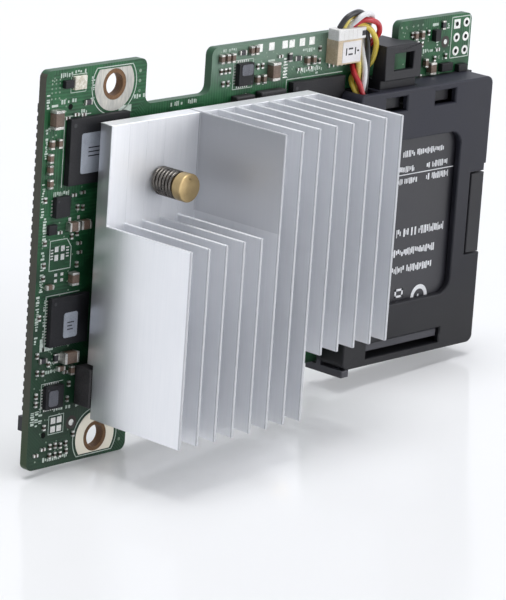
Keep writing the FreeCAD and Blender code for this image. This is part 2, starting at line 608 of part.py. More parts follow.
# Battery holder: a cover with a window, clipped over a tray that hooks round the board's edges
def battery_cover():
    body = doc.addObject("PartDesign::Body", "battery_cover")
    wide = "board_length - cover_left"
    shell = outline(body, "cover_shell", "tray_plate", rectangle("cover_left", "cover_low", wide,
                                                                 "cover_tall"))
    pad(body, shell, "cover_front - tray_plate")
    fillet(body, "cover_corner", along_y)
    hollow = outline(body, "cover_hollow", "tray_plate", rectangle(
        "cover_left + cover_wall", "cover_low + cover_wall", "%s - 2 * cover_wall" % wide,
        "cover_tall - 2 * cover_wall"))
    pocket(body, hollow, "cover_front - tray_plate - cover_wall")
    face = "cover_front - cover_wall"
    window = outline(body, "window", face, rectangle("window_left", "window_low", "window_wide",
                                                     "window_tall"))
    pocket(body, window, "cover_wall")
    wall = dim("cover_wall")
    fillet(body, "window_corner", lambda edge: along_y(edge) and abs(edge.Length - wall) < 0.01)
    for name, spot in (("hatch_a", ("hatch_a_left", "hatch_low", "hatch_wide", "hatch_tall")),
                       ("hatch_b", ("hatch_b_left", "hatch_low", "hatch_wide", "hatch_tall")),
                       ("lug_slot", ("lug_slot_left", "lug_slot_low", "lug_slot_wide",
                                     "lug_slot_tall"))):
        pocket(body, outline(body, name, face, rectangle(*spot)), "cover_wall")
    # side opening for the latch, with a shallow notch above it
    pocket(body, outline(body, "latch_opening", "tray_plate", rectangle(
        "latch_left", "latch_low", "board_length - latch_left + cut_margin", "latch_tall")),
        "cover_front - tray_plate")
    pocket(body, outline(body, "latch_notch", "tray_plate", rectangle(
        "board_length - latch_inset", "latch_low + latch_tall", "latch_inset + cut_margin",
        "latch_notch")), "cover_front - tray_plate")
    # relief over the memory chip, and gates in the top wall for the lead and the clip
    top = "cover_low + cover_tall - cover_wall"
    pocket(body, outline(body, "chip_relief", "tray_plate", rectangle(
        "cover_left - cut_margin", "memory_b_low - chip_clearance", "cover_wall + cut_margin + 0.1",
        "cover_tall")), "memory_thick - tray_plate + chip_clearance")
    pocket(body, outline(body, "lead_gate", "tray_plate", rectangle(
        "gate_left", top, "gate_wide", "cover_wall + cut_margin")), "%s - tray_plate" % face)
    pocket(body, outline(body, "clip_gate", "tray_plate", rectangle(
        "clip_left - clip_clearance", top, "clip_wide + 2 * clip_clearance",
        "cover_wall + cut_margin")), "clip_front - clip_wall - tray_plate + clip_clearance")
    keep("battery_cover", body)


def battery_tray():
    back = "-board_thick - hook_reach"
    plate = block("tray_plate_blank", "cover_left", "cover_low", "0", "board_length - cover_left",
                  "cover_tall", "tray_plate")
    relief = block("tray_relief", "memory_b_left - chip_clearance", "memory_b_low - chip_clearance",
                   "-cut_margin", "memory_wide + 2 * chip_clearance", "cover_tall",
                   "tray_plate + 2 * cut_margin")
    parts = [cut("tray_plate_cut", plate, relief)]
    # foot: a rib under the cover that hooks round the board's lower edge
    parts.append(block("foot_rib", "cover_left", "cover_low - foot_thick", back, "foot_wide",
                       "foot_thick", "cover_front + board_thick + hook_reach"))
    parts.append(block("foot_hook", "cover_left", "cover_low - foot_thick", back, "foot_wide",
                       "foot_rise", "hook_reach"))
    # lugs that catch in the cover's slots
    parts.append(block("slot_lug", "lug_slot_left + lug_gap", "lug_slot_low + lug_rise", "0",
                       "lug_slot_wide - 2 * lug_gap", "lug_slot_tall - lug_rise - lug_gap",
                       "cover_front - cover_wall + lug_entry"))
    for i, left in enumerate(("hatch_a_left", "hatch_b_left")):
        parts.append(block("hatch_lug_%d" % i, "%s + lug_gap" % left, "hatch_low + lug_gap", "0",
                           "hatch_wide - 2 * lug_gap", "hatch_tall - 2 * lug_gap",
                           "cover_front - cover_wall - hatch_setback"))
    # side latch: a bent arm that fills the cover's side opening
    arm_right = "board_length - latch_inset"
    arm_low, arm_tall = "latch_low + latch_gap", "latch_tall - 2 * latch_gap"
    parts.append(block("latch_side", "%s - latch_wall" % arm_right, arm_low, "0", "latch_wall", arm_tall,
                       "cover_front"))
    parts.append(block("latch_face", "latch_left + latch_gap", arm_low, "cover_front - latch_wall",
                       "%s - latch_left - latch_gap" % arm_right, arm_tall, "latch_wall"))
    # upper clip: riser, windowed cap and a hook through the board's notch
    parts.append(block("clip_riser", "clip_left", "clip_step - clip_root", "0", "clip_wide",
                       "clip_root", "clip_front - clip_wall"))
    cap = block("clip_cap", "clip_left", "clip_step", "clip_back", "clip_wide", "clip_top - clip_step",
                "clip_front - clip_back")
    right, top = dim("clip_left + clip_wide"), dim("clip_top")
    cap = soften("clip_cap_round", cap, dim("clip_corner"), lambda edge: at_corner(edge, right, top))
    hollow = block("clip_hollow", "clip_left + clip_wall", "clip_step + clip_wall",
                   "clip_back - cut_margin", "clip_wide - 2 * clip_wall",
                   "clip_top - clip_step - 2 * clip_wall", "clip_front - clip_wall - clip_back + cut_margin")
    opening = block("clip_window", "clip_left + clip_window_side", "clip_window_low", "clip_back",
                    "clip_wide - 2 * clip_wall - clip_window_side + 0.1", "clip_window_tall",
                    "clip_front")
    parts.append(cut("clip_cap_cut", cap, join("clip_openings", [hollow, opening])))
    bridge_low = "clip_top - hook_thick"
    parts.append(block("hook_bridge", "clip_left", bridge_low, back, "hook_wide", "hook_thick",
                       "clip_front + board_thick + hook_reach - clip_wall"))
    parts.append(block("hook_lip", "clip_left", "clip_top - hook_drop", back, "hook_wide", "hook_drop",
                       "hook_reach"))
    keep("battery_tray", join("battery_tray", parts))


def battery_pack():
    blank = block("pack_blank", "pack_left", "pack_low", "tray_plate", "pack_wide", "pack_tall",
                  "pack_thick")
    front = -dim("board_thick + tray_plate + pack_thick")
    pack = soften("pack_round", blank, dim("pack_round"), lambda edge: along_y(edge) or all(
        abs(v.Point.y - front) < 0.01 for v in edge.Vertexes))
    keep("battery_pack", pack)
    keep("battery_sticker", block(
        "battery_sticker", "pack_left + sticker_inset", "pack_low + sticker_inset",
        "tray_plate + pack_thick", "pack_wide - 2 * sticker_inset", "pack_tall - 2 * sticker_inset",
        "sticker_thick"))
    keep("battery_guard_board", block("battery_guard_board", "guard_left", "guard_low", "tray_plate",
                                      "guard_wide", "guard_tall", "guard_thick"))


# The lead's wires, point by point as (left, low, out): out of the plug's top, over to the right, back
# under the socket and down beside the battery to its guard board. They go along when the socket,
# whose corner is at SOCKET_CORNER here, is somewhere else.
SOCKET_CORNER = (67.0, 62.6)
WIRES = {
    "black": [
        (67.95, 69.0, 1.9), (68.35, 70.72, 2.57), (70.05, 71.63, 2.95), (72.23, 71.7, 2.51),
        (74.29, 70.9, 1.78), (75.49, 68.69, 1.51), (75.78, 65.95, 1.81), (75.92, 63.44, 2.04),
        (75.6, 61.09, 2.31), (75.36, 58.41, 2.44), (75.18, 55.61, 2.51), (75.01, 52.77, 2.57),
        (74.88, 49.91, 2.6), (74.8, 46.9, 2.6), (74.8, 44.0, 2.6)],
    "inner_yellow": [
        (69.0, 69.0, 1.9), (69.47, 70.43, 2.24), (71.0, 70.96, 2.11), (73.1, 70.48, 1.49),
        (74.52, 69.02, 0.86), (74.53, 66.9, 0.7), (73.86, 64.64, 1.09), (73.72, 62.27, 1.85),
        (73.89, 59.77, 2.03), (73.83, 57.15, 1.82), (73.71, 54.47, 1.7), (73.56, 51.79, 1.65),
        (73.41, 49.12, 1.66), (73.3, 46.5, 1.7), (73.3, 44.0, 1.7)],
    "white": [
        (70.1, 69.0, 1.9), (70.56, 70.07, 3.07), (72.03, 71.43, 3.69), (74.3, 71.34, 3.43),
        (76.09, 70.17, 2.32), (76.55, 68.41, 0.87), (75.7, 66.26, 0.48), (74.84, 63.98, 1.47),
        (74.62, 61.51, 2.67), (74.25, 59.26, 3.06), (73.93, 56.85, 2.84), (73.76, 53.76, 2.82),
        (73.64, 50.49, 2.88), (73.6, 47.2, 2.95), (73.6, 44.0, 2.95)],
    "red": [
        (71.2, 69.0, 1.9), (71.86, 70.1, 2.83), (73.37, 70.39, 3.64), (75.18, 69.87, 3.73),
        (76.86, 69.05, 3.24), (77.8, 67.28, 2.7), (76.92, 65.45, 1.38), (75.74, 63.47, 0.62),
        (73.59, 62.13, 0.54), (72.6, 60.7, 1.64), (72.89, 58.76, 3.29), (73.23, 55.9, 4.21),
        (73.42, 52.2, 4.28), (73.5, 48.05, 4.05), (73.5, 44.0, 4.05)],
    "outer_yellow": [
        (72.3, 69.0, 1.9), (73.85, 69.15, 2.13), (75.22, 68.42, 2.68), (76.06, 67.23, 2.94),
        (76.72, 65.95, 3.05), (76.87, 64.25, 2.81), (76.95, 62.23, 2.1), (76.14, 60.73, 1.11),
        (74.35, 60.18, 0.46), (72.94, 59.27, 0.9), (72.38, 58.15, 2.11), (72.93, 56.13, 3.22),
        (72.7, 52.34, 3.37), (72.35, 48.1, 3.3), (72.35, 44.0, 3.3)]}


def wire_path(points):
    """Straight runs joined by tangent arcs, each as large as its two runs allow."""
    runs = [b - a for a, b in zip(points, points[1:])]
    edges, radii, start = [], [], points[0]
    for corner, run, next_run in zip(points[1:], runs, runs[1:]):
        turn = run.getAngle(next_run)
        reach = 0.45 * min(run.Length, next_run.Length)
        radii.append(reach / math.tan(turn / 2))
        enter = corner - run / run.Length * reach
        leave = corner + next_run / next_run.Length * reach
        inward = (enter + leave) / 2 - corner
        gap = radii[-1] / math.cos(turn / 2) - radii[-1]
        edges.append(Part.LineSegment(start, enter).toShape())
        edges.append(Part.Arc(enter, corner + inward / inward.Length * gap, leave).toShape())
        start = leave
    edges.append(Part.LineSegment(start, points[-1]).toShape())
    return Part.Wire(edges), radii


def battery_wires():
    """Each wire is swept along its path and trimmed flush with the plug."""
    across = dim("socket_left") - SOCKET_CORNER[0] - dim("hole_inset")
    up = dim("socket_low") - SOCKET_CORNER[1] - dim("board_height") / 2
    for colour, spots in WIRES.items():
        points = [V(left + across, -dim("board_thick") - out, low + up) for left, low, out in spots]
        path, radii = wire_path(points)
        spine = doc.addObject("Part::Feature", colour + "_path")
        spine.Shape = path
        section = doc.addObject("Part::Circle", colour + "_section")
        section.setExpression("Radius", formula("wire_radius"))
        section.Placement = FreeCAD.Placement(points[0], FreeCAD.Rotation(V(0, 0, 1), points[1] - points[0]))
        sweep = doc.addObject("Part::Sweep", colour + "_sweep")
        sweep.Sections = [section]
        sweep.Spine = (spine, ["Edge%d" % i for i in range(1, len(path.Edges) + 1)])
        sweep.Solid = True
        doc.recompute()
        ideal = math.pi * dim("wire_radius") ** 2 * path.Length
        print("%s wire: %.2f mm long, volume %.2f of %.2f mm3, radii" % (
            colour, path.Length, sweep.Shape.Volume, ideal), " ".join("%.1f" % r for r in radii))
        name = colour + "_battery_wire"
        keep(name, cut(name, sweep, doc.getObject("plug_flange")))


circuit_board()
screw_rings()
mezzanine_connector()
heat_sink()
push_pins()
pin_springs()
processor()
chips()
chip_labels()
two_ended_chips()
battery_socket()
battery_plug()
battery_cover()
battery_tray()
battery_pack()
battery_wires()
doc.recompute()

failed = [obj.Name for obj in doc.Objects if {"Invalid", "Error"} & set(obj.State)]
failed += [obj.Label for obj in nodes if obj.Shape.isNull() or not obj.Shape.isValid()]
if failed:
    raise ValueError("failed pieces: " + ", ".join(failed))
os.makedirs("parts", exist_ok=True)
for obj in nodes:
    obj.Shape.exportStep("parts/%s.step" % obj.Label)
    print("%-30s %2d solids %9.2f mm3" % (obj.Label, len(obj.Shape.Solids), obj.Shape.Volume))
print(len(nodes), "pieces")
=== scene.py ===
# Server storage controller card, dressed over its CAD frame.
# Places on the board are in millimetres as (left, low, out): from the board's left end, from its
# lower edge, and out from its front face towards the viewer. A rectangle on it is (left, low, wide,
# tall).
import math

import bmesh
import bpy
import numpy as np
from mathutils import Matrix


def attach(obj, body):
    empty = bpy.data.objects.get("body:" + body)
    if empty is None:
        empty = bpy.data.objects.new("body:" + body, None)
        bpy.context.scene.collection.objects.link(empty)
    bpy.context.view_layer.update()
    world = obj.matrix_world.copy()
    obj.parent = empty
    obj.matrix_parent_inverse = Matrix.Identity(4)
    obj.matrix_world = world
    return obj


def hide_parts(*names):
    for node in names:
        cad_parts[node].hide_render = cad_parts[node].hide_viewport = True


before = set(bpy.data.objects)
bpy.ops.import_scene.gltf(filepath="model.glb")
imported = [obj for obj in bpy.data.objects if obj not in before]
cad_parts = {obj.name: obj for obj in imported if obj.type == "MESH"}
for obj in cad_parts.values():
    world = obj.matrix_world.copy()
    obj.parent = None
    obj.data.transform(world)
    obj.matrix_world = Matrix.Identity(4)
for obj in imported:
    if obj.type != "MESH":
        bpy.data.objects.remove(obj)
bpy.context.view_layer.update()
print("frame loaded:", len(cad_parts), "nodes")

# where the object's origin lies on the board, in millimetres, and its front face in metres
board = {"left": 15.5, "low": 34.0, "thick": 1.57, "face": -0.00157}


def boardPoint(left, low, out):
    # x = left - 15.5, y = -1.57 - out, z = low - 34, turned from millimetres into metres
    left, low, out = np.broadcast_arrays(left, low, out)
    return np.stack([left - board["left"], -board["thick"] - out, low - board["low"]], -1) * 0.001


def linear(red, green, blue):
    # screen colour from 0 to 255 as the linear values that a shader takes
    c = np.array([red, green, blue]) / 255.0
    c = np.where(c <= 0.04045, c / 12.92, ((c + 0.055) / 1.055) ** 2.4)
    return (*c.tolist(), 1.0)


def addNode(tree, kind, inputs=None, **settings):
    made = tree.nodes.new("ShaderNode" + kind)
    for key, value in settings.items():
        setattr(made, key, value)
    for key, value in (inputs or {}).items():
        if isinstance(value, bpy.types.NodeSocket):
            tree.links.new(value, made.inputs[key])
        else:
            made.inputs[key].default_value = value
    return made


def maths(tree, operation, *values):
    # one sum, product or comparison of numbers
    return addNode(tree, "Math", dict(enumerate(values)), operation=operation).outputs[0]


def ramp(tree, value, start=0.0, end=1.0, first=0.0, last=1.0):
    # as the value runs from start to end, the result runs from first to last and stays there
    return addNode(tree, "MapRange", {0: value, 1: start, 2: end, 3: first, 4: last}).outputs[0]


def noise(tree, place, scale, detail=2.0):
    return addNode(tree, "TexNoise", {"Vector": place, "Scale": scale, "Detail": detail}).outputs[0]


def blend(tree, amount, first, second):
    # first * (1 - amount) + second * amount
    return addNode(tree, "Mix", {0: amount, 2: first, 3: second}).outputs[0]


def mixTones(tree, amount, first, second):
    # the same for colours: inputs 6 and 7 of the node are the two tones, output 2 the result
    return addNode(tree, "Mix", {0: amount, 6: first, 7: second}, data_type="RGBA").outputs[2]


def newMaterial(name):
    made = bpy.data.materials.new(name)
    made.use_nodes = True
    tree = made.node_tree
    return made, tree, tree.nodes["Principled BSDF"]


def finish(name, dark, light, rough, grain=6000.0, relief=0.0, stretch=(1, 1, 1), patch=150.0,
           lower=None, **sockets):
    # Patches and a fine grain drift the colour between two tones, patches drift the roughness
    # between two values, and the grain stands up by relief metres. Lower names a tone that comes in
    # between two heights.
    made, tree, shader = newMaterial(name)
    place = addNode(tree, "TexCoord").outputs["Object"]
    drawn = addNode(tree, "Mapping", {"Vector": place, "Scale": stretch}).outputs[0]
    patches = noise(tree, drawn, patch, 4.0)
    grains = noise(tree, drawn, grain, 3.0)
    both = maths(tree, "ADD", patches, grains)
    tone = ramp(tree, both, 0.75, 1.25)  # noise keeps near its middle, so that part is spread out
    colour = mixTones(tree, tone, linear(*dark), linear(*light))
    if lower:
        height = addNode(tree, "SeparateXYZ", {0: place}).outputs["Z"]
        amount = ramp(tree, height, lower["from"], lower["to"])
        colour = mixTones(tree, amount, colour, linear(*lower["tone"]))
    tree.links.new(colour, shader.inputs["Base Color"])
    gloss = ramp(tree, patches, 0.3, 0.7, rough[0], rough[1])
    tree.links.new(gloss, shader.inputs["Roughness"])
    if relief:
        bump = addNode(tree, "Bump", {"Height": grains, "Distance": relief}).outputs[0]
        tree.links.new(bump, shader.inputs["Normal"])
    for key, value in sockets.items():
        shader.inputs[key.replace("_", " ")].default_value = value
    return made


def addPiece(name, points, faces, material, smooth=False):
    # faces are an array of equal rows, or a list of rows of any length
    mesh = bpy.data.meshes.new(name)
    rows = faces.tolist() if isinstance(faces, np.ndarray) else faces
    mesh.from_pydata(points.reshape(-1, 3).tolist(), [], rows)
    mesh.polygons.foreach_set("use_smooth", [smooth] * len(mesh.polygons))
    mesh.materials.append(material)
    piece = bpy.data.objects.new(name, mesh)
    bpy.context.scene.collection.objects.link(piece)
    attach(piece, "root")
    return piece


# The camera was solved from the edges of the board and the heat sink.
view = {"place": (-0.421966, -0.424974, 0.157771), "turn": (74.7385, -3.7861, -46.2842),
        "lens": 222.28, "clipStart": 0.01}
cameraData = bpy.data.cameras.new("camera")
cameraData.lens = view["lens"]
cameraData.clip_start = view["clipStart"]
camera = bpy.data.objects.new("camera", cameraData)
camera.location = view["place"]
camera.rotation_euler = [math.radians(a) for a in view["turn"]]
bpy.context.scene.collection.objects.link(camera)
bpy.context.scene.camera = camera
bpy.context.scene.view_settings.view_transform = "Standard"

# Five wires leave the plug's top, loop over to the right and run down into the holder. Each is a
# round section carried along a smooth curve of order 3 through its control points (left, low, out).
lead = {"diameter": 0.001, "order": 3, "sectionSteps": 4, "spanSteps": 10, "rough": (0.28, 0.42),
        "grain": 9000.0, "relief": 0.000004, "patch": 400.0, "coat": 0.2, "coatRough": 0.25}
wires = {
    "black": {"length": 0.03542, "dark": (17, 17, 20), "light": (33, 33, 37), "points": [
        (67.95, 69.0, 1.9), (68.35, 70.72, 2.57), (70.05, 71.63, 2.95), (72.23, 71.7, 2.51),
        (74.29, 70.9, 1.78), (75.49, 68.69, 1.51), (75.78, 65.95, 1.81), (75.92, 63.44, 2.04),
        (75.6, 61.09, 2.31), (75.36, 58.41, 2.44), (75.18, 55.61, 2.51), (75.01, 52.77, 2.57),
        (74.88, 49.91, 2.6), (74.8, 46.9, 2.6), (74.8, 44.0, 2.6)]},
    "inner_yellow": {"length": 0.0325, "dark": (214, 192, 84), "light": (238, 222, 128), "points": [
        (69.0, 69.0, 1.9), (69.47, 70.43, 2.24), (71.0, 70.96, 2.11), (73.1, 70.48, 1.49),
        (74.52, 69.02, 0.86), (74.53, 66.9, 0.7), (73.86, 64.64, 1.09), (73.72, 62.27, 1.85),
        (73.89, 59.77, 2.03), (73.83, 57.15, 1.82), (73.71, 54.47, 1.7), (73.56, 51.79, 1.65),
        (73.41, 49.12, 1.66), (73.3, 46.5, 1.7), (73.3, 44.0, 1.7)]},
    "white": {"length": 0.03561, "dark": (214, 214, 216), "light": (240, 240, 240), "points": [
        (70.1, 69.0, 1.9), (70.56, 70.07, 3.07), (72.03, 71.43, 3.69), (74.3, 71.34, 3.43),
        (76.09, 70.17, 2.32), (76.55, 68.41, 0.87), (75.7, 66.26, 0.48), (74.84, 63.98, 1.47),
        (74.62, 61.51, 2.67), (74.25, 59.26, 3.06), (73.93, 56.85, 2.84), (73.76, 53.76, 2.82),
        (73.64, 50.49, 2.88), (73.6, 47.2, 2.95), (73.6, 44.0, 2.95)]},
    "red": {"length": 0.03559, "dark": (168, 24, 34), "light": (204, 44, 52), "points": [
        (71.2, 69.0, 1.9), (71.86, 70.1, 2.83), (73.37, 70.39, 3.64), (75.18, 69.87, 3.73),
        (76.86, 69.05, 3.24), (77.8, 67.28, 2.7), (76.92, 65.45, 1.38), (75.74, 63.47, 0.62),
        (73.59, 62.13, 0.54), (72.6, 60.7, 1.64), (72.89, 58.76, 3.29), (73.23, 55.9, 4.21),
        (73.42, 52.2, 4.28), (73.5, 48.05, 4.05), (73.5, 44.0, 4.05)]},
    "outer_yellow": {"length": 0.03152, "dark": (212, 184, 56), "light": (240, 218, 98), "points": [
        (72.3, 69.0, 1.9), (73.85, 69.15, 2.13), (75.22, 68.42, 2.68), (76.06, 67.23, 2.94),
        (76.72, 65.95, 3.05), (76.87, 64.25, 2.81), (76.95, 62.23, 2.1), (76.14, 60.73, 1.11),
        (74.35, 60.18, 0.46), (72.94, 59.27, 0.9), (72.38, 58.15, 2.11), (72.93, 56.13, 3.22),
        (72.7, 52.34, 3.37), (72.35, 48.1, 3.3), (72.35, 44.0, 3.3)]},
}
for colour, wire in wires.items():
    points = boardPoint(*np.array(wire["points"]).T)
    curve = bpy.data.curves.new(colour + "_lead_wire", "CURVE")
    curve.dimensions = "3D"
    curve.bevel_depth = lead["diameter"] / 2
    curve.bevel_resolution = lead["sectionSteps"]
    curve.use_fill_caps = True
    spline = curve.splines.new("NURBS")
    spline.points.add(len(points) - 1)
    spline.points.foreach_set("co", np.hstack([points, np.ones((len(points), 1))]).ravel())
    spline.order_u = lead["order"]
    spline.use_endpoint_u = True
    spline.resolution_u = lead["spanSteps"]
    piece = bpy.data.objects.new(colour + "_lead_wire", curve)
    bpy.context.scene.collection.objects.link(piece)
    curve.materials.append(finish(colour + "WireJacket", wire["dark"], wire["light"], lead["rough"],
                                  grain=lead["grain"], relief=lead["relief"],
                                  patch=lead["patch"], Coat_Weight=lead["coat"],
                                  Coat_Roughness=lead["coatRough"]))
    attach(piece, "root")
    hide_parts(colour + "_battery_wire")
print("wires laid:", len(wires))

# Floor, world and two broad lamps.
studio = {"floorSide": 2.0, "floorDark": (228, 229, 231), "floorLight": (231, 232, 234),
          "smudges": 30.0, "floorRough": 0.12, "floorShine": 0.12, "lift": 0.12,
          "footLeft": 22.6, "lean": 3.8, "leanReach": 120.0, "curved": (-0.5, 0.6, 111),
          "backdrop": (247, 249, 255), "leftAmbient": 0.12, "rightAmbient": 0.6,
          "keyTurn": (4.0, 0.0, -90.0), "keyEnergy": 2.0, "keySpread": 34.0,
          "fillTurn": (78.0, 0.0, 26.0), "fillEnergy": 1.7, "fillSpread": 50.0}


def seenDirectly(tree):
    # 1 where the camera, a reflection or a view through glass meets the surface
    rays = addNode(tree, "LightPath").outputs
    seen = maths(tree, "MAXIMUM", rays["Is Camera Ray"], rays["Is Glossy Ray"])
    return maths(tree, "MAXIMUM", seen, rays["Is Transmission Ray"])


# The card stands on the right end of its left tab and leans to its right, so the floor climbs
# past it: height = reach * tanh(distance from the foot / reach) * tan lean, level further away.
side = studio["floorSide"]
across = np.concatenate([[-side], np.linspace(*studio["curved"]), [side]])
foot, reach = (studio["footLeft"] - board["left"]) * 0.001, studio["leanReach"] * 0.001
slope = math.tan(math.radians(studio["lean"]))
climb = -board["low"] * 0.001 + reach * np.tanh((across - foot) / reach) * slope
rows = [np.stack([across, np.full(len(across), y), climb], -1) for y in (-side, side)]
k = np.arange(len(across) - 1)
floorFaces = np.stack([k, k + 1, k + 1 + len(across), k + len(across)], -1)
floorMesh = bpy.data.meshes.new("floor")
floorMesh.from_pydata(np.concatenate(rows).tolist(), [], floorFaces.tolist())
floorMesh.polygons.foreach_set("use_smooth", [True] * len(floorMesh.polygons))
floor = bpy.data.objects.new("floor", floorMesh)
bpy.context.scene.collection.objects.link(floor)
floorMaterial, tree, shader = newMaterial("glossyTable")
place = addNode(tree, "TexCoord").outputs["Object"]
smudges = noise(tree, place, studio["smudges"])
tone = mixTones(tree, smudges, linear(*studio["floorDark"]), linear(*studio["floorLight"]))
tree.links.new(tone, shader.inputs["Base Color"])
shader.inputs["Roughness"].default_value = studio["floorRough"]
shader.inputs["Specular IOR Level"].default_value = studio["floorShine"]
lift = maths(tree, "MULTIPLY", seenDirectly(tree), studio["lift"])
tree.links.new(lift, shader.inputs["Emission Strength"])
shader.inputs["Emission Color"].default_value = (1, 1, 1, 1)
floorMesh.materials.append(floorMaterial)

world = bpy.data.worlds.new("studio")
bpy.context.scene.world = world
world.use_nodes = True
tree = world.node_tree
tree.nodes.clear()
# soft light that grows from the left to the right, and full strength where it is seen or mirrored
direction = addNode(tree, "TexCoord").outputs["Generated"]
rightward = addNode(tree, "SeparateXYZ", {0: direction}).outputs["X"]
ambient = ramp(tree, rightward, -1.0, 1.0, studio["leftAmbient"], studio["rightAmbient"])
strength = blend(tree, seenDirectly(tree), ambient, 1.0)
sky = addNode(tree, "Background", {"Color": linear(*studio["backdrop"]), "Strength": strength})
addNode(tree, "OutputWorld", {"Surface": sky.outputs[0]})

for name in ("key", "fill"):
    lampData = bpy.data.lights.new(name, "SUN")
    lampData.energy = studio[name + "Energy"]
    lampData.angle = math.radians(studio[name + "Spread"])
    lamp = bpy.data.objects.new(name, lampData)
    lamp.rotation_euler = [math.radians(a) for a in studio[name + "Turn"]]
    bpy.context.scene.collection.objects.link(lamp)
print("studio ready")


# Flat outlines, as corners (left, low), and the solids made from them.
def bars(rows):
    # rectangles as four corners each, anticlockwise as the viewer sees them
    left, low, wide, tall = np.asarray(rows, float).T
    return np.stack([np.stack([left, low], -1), np.stack([left + wide, low], -1),
                     np.stack([left + wide, low + tall], -1), np.stack([left, low + tall], -1)], 1)


def discs(rows, corners=18):
    # circles (left, low, radius): corner k = centre + radius * (cos a, sin a), a = 2 pi k / corners
    left, low, radius = (c[:, None] for c in np.asarray(rows, float).T)
    turn = np.arange(corners)[None] * 2 * math.pi / corners
    return np.stack([left + radius * np.cos(turn), low + radius * np.sin(turn)], -1)


def roundedBar(left, low, wide, tall, radius):
    # one rectangle whose corners are quarter circles, each in 6 steps
    right, high = left + wide - radius, low + tall - radius
    left, low = left + radius, low + radius
    spots = [(right, low, -90), (right, high, 0), (left, high, 90), (left, low, 180)]
    return np.concatenate([arc(x, z, radius, turn, turn + 90, 6) for x, z, turn in spots])[None]


def strokes(points, width):
    # one rectangle along each run of a line, half the width to each side of it and a third past it
    points = np.asarray(points, float)
    start, end = points[:-1], points[1:]
    along = (end - start) / np.linalg.norm(end - start, axis=1, keepdims=True)
    across = np.stack([-along[:, 1], along[:, 0]], -1) * width / 2
    start, end = start - along * width / 3, end + along * width / 3
    return np.stack([start - across, end - across, end + across, start + across], 1)


def arc(left, low, radius, first, last, steps=20):
    # points at centre + radius * (cos a, sin a) from one angle to another, in degrees
    turn = np.radians(np.linspace(first, last, steps + 1))
    return np.stack([left + radius * np.cos(turn), low + radius * np.sin(turn)], -1)


def hoop(left, low, radius, width, first, last, steps=24):
    # a ring or part of one as a row of four-cornered pieces that meet edge to edge
    outer = arc(left, low, radius + width / 2, first, last, steps)
    inner = arc(left, low, radius - width / 2, first, last, steps)
    return np.stack([outer[:-1], outer[1:], inner[1:], inner[:-1]], 1)


def slabs(name, outlines, back, front, material, slotName):
    # every outline becomes a closed flat block between two distances from the board's face: its
    # corners once at the back and once at the front, two end faces and a ring of four-sided ones
    points, faces, base = [], [], 0
    for corners in outlines:
        count, sides = corners.shape[:2]
        layers = [boardPoint(corners[..., 0], corners[..., 1], out) for out in (back, front)]
        points.append(np.stack(layers, 1).reshape(-1, 3))
        k = np.arange(sides)
        first = base + 2 * sides * np.arange(count)[:, None]
        faces += (first + k[::-1]).tolist() + (first + sides + k).tolist()
        ring = np.stack([k, (k + 1) % sides, sides + (k + 1) % sides, sides + k], -1)
        faces += (first[:, :, None] + ring[None]).reshape(-1, 4).tolist()
        base += 2 * sides * count
    return addPiece(name, np.concatenate(points), faces, material)


def lathe(name, spots, profile, material, sides=48):
    # a closed profile of (radius, out) is turned about an axis square to the board at each spot:
    # point = spot + radius * (cos turn, sin turn). Points on the axis are merged afterwards.
    radius, out = np.hsplit(np.asarray(profile, float), 2)
    turn = np.arange(sides + 1) * 2 * math.pi / sides
    i, j = np.meshgrid(np.arange(len(radius) - 1), np.arange(sides), indexing="ij")
    points, faces, base = [], [], 0
    for left, low in spots:
        points.append(boardPoint(left + radius * np.cos(turn), low + radius * np.sin(turn), out))
        corner = base + i * (sides + 1) + j
        ring = np.stack([corner, corner + 1, corner + sides + 2, corner + sides + 1], -1)
        faces.append(ring.reshape(-1, 4))
        base += len(radius) * (sides + 1)
    points = np.concatenate([p.reshape(-1, 3) for p in points])
    piece = addPiece(name, points, np.concatenate(faces), material, smooth=True)
    tidyMesh(piece.data)
    piece.data.set_sharp_from_angle(angle=math.radians(35))
    return piece


def tidyMesh(mesh, flat=False):
    # merge doubles, join coplanar triangles when asked, and turn every face outwards
    work = bmesh.new()
    work.from_mesh(mesh)
    bmesh.ops.remove_doubles(work, verts=work.verts, dist=1e-6)
    if flat:
        bmesh.ops.dissolve_limit(work, angle_limit=math.radians(0.6), verts=work.verts,
                                 edges=work.edges)
    bmesh.ops.recalc_face_normals(work, faces=work.faces)
    work.to_mesh(mesh)
    work.free()


def roundedCopy(name, node, material, width, segments=2, limit=28.0, above=-99.0):
    # a copy of the CAD piece, its doubles merged, with a bevel "width" millimetres wide on the
    # edges sharper than "limit" degrees that lie more than "above" out from the board. Weighted
    # normals keep the large faces flat.
    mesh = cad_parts[node].data.copy()
    mesh.name = name
    tidyMesh(mesh, flat=True)
    mesh.materials.clear()
    mesh.materials.append(material)
    mesh.polygons.foreach_set("use_smooth", [True] * len(mesh.polygons))
    work = bmesh.new()
    work.from_mesh(mesh)
    lowest = board["face"] - above * 0.001
    chosen = [edge.calc_face_angle(0.0) > math.radians(limit)
              and max(v.co.y for v in edge.verts) < lowest for edge in work.edges]
    work.free()
    mesh.set_sharp_from_angle(angle=math.radians(limit))
    piece = bpy.data.objects.new(name, mesh)
    bpy.context.scene.collection.objects.link(piece)
    if width:
        mesh.attributes.new("bevel_weight_edge", "FLOAT", "EDGE").data.foreach_set(
            "value", np.array(chosen, np.float32))
        bevel = piece.modifiers.new("edges", "BEVEL")
        bevel.width = width * 0.001
        bevel.segments = segments
        bevel.limit_method = "WEIGHT"
        bevel.use_clamp_overlap = False
        evened = piece.modifiers.new("evened", "WEIGHTED_NORMAL")
        evened.keep_sharp = True
    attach(piece, "root")
    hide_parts(node)
    return piece


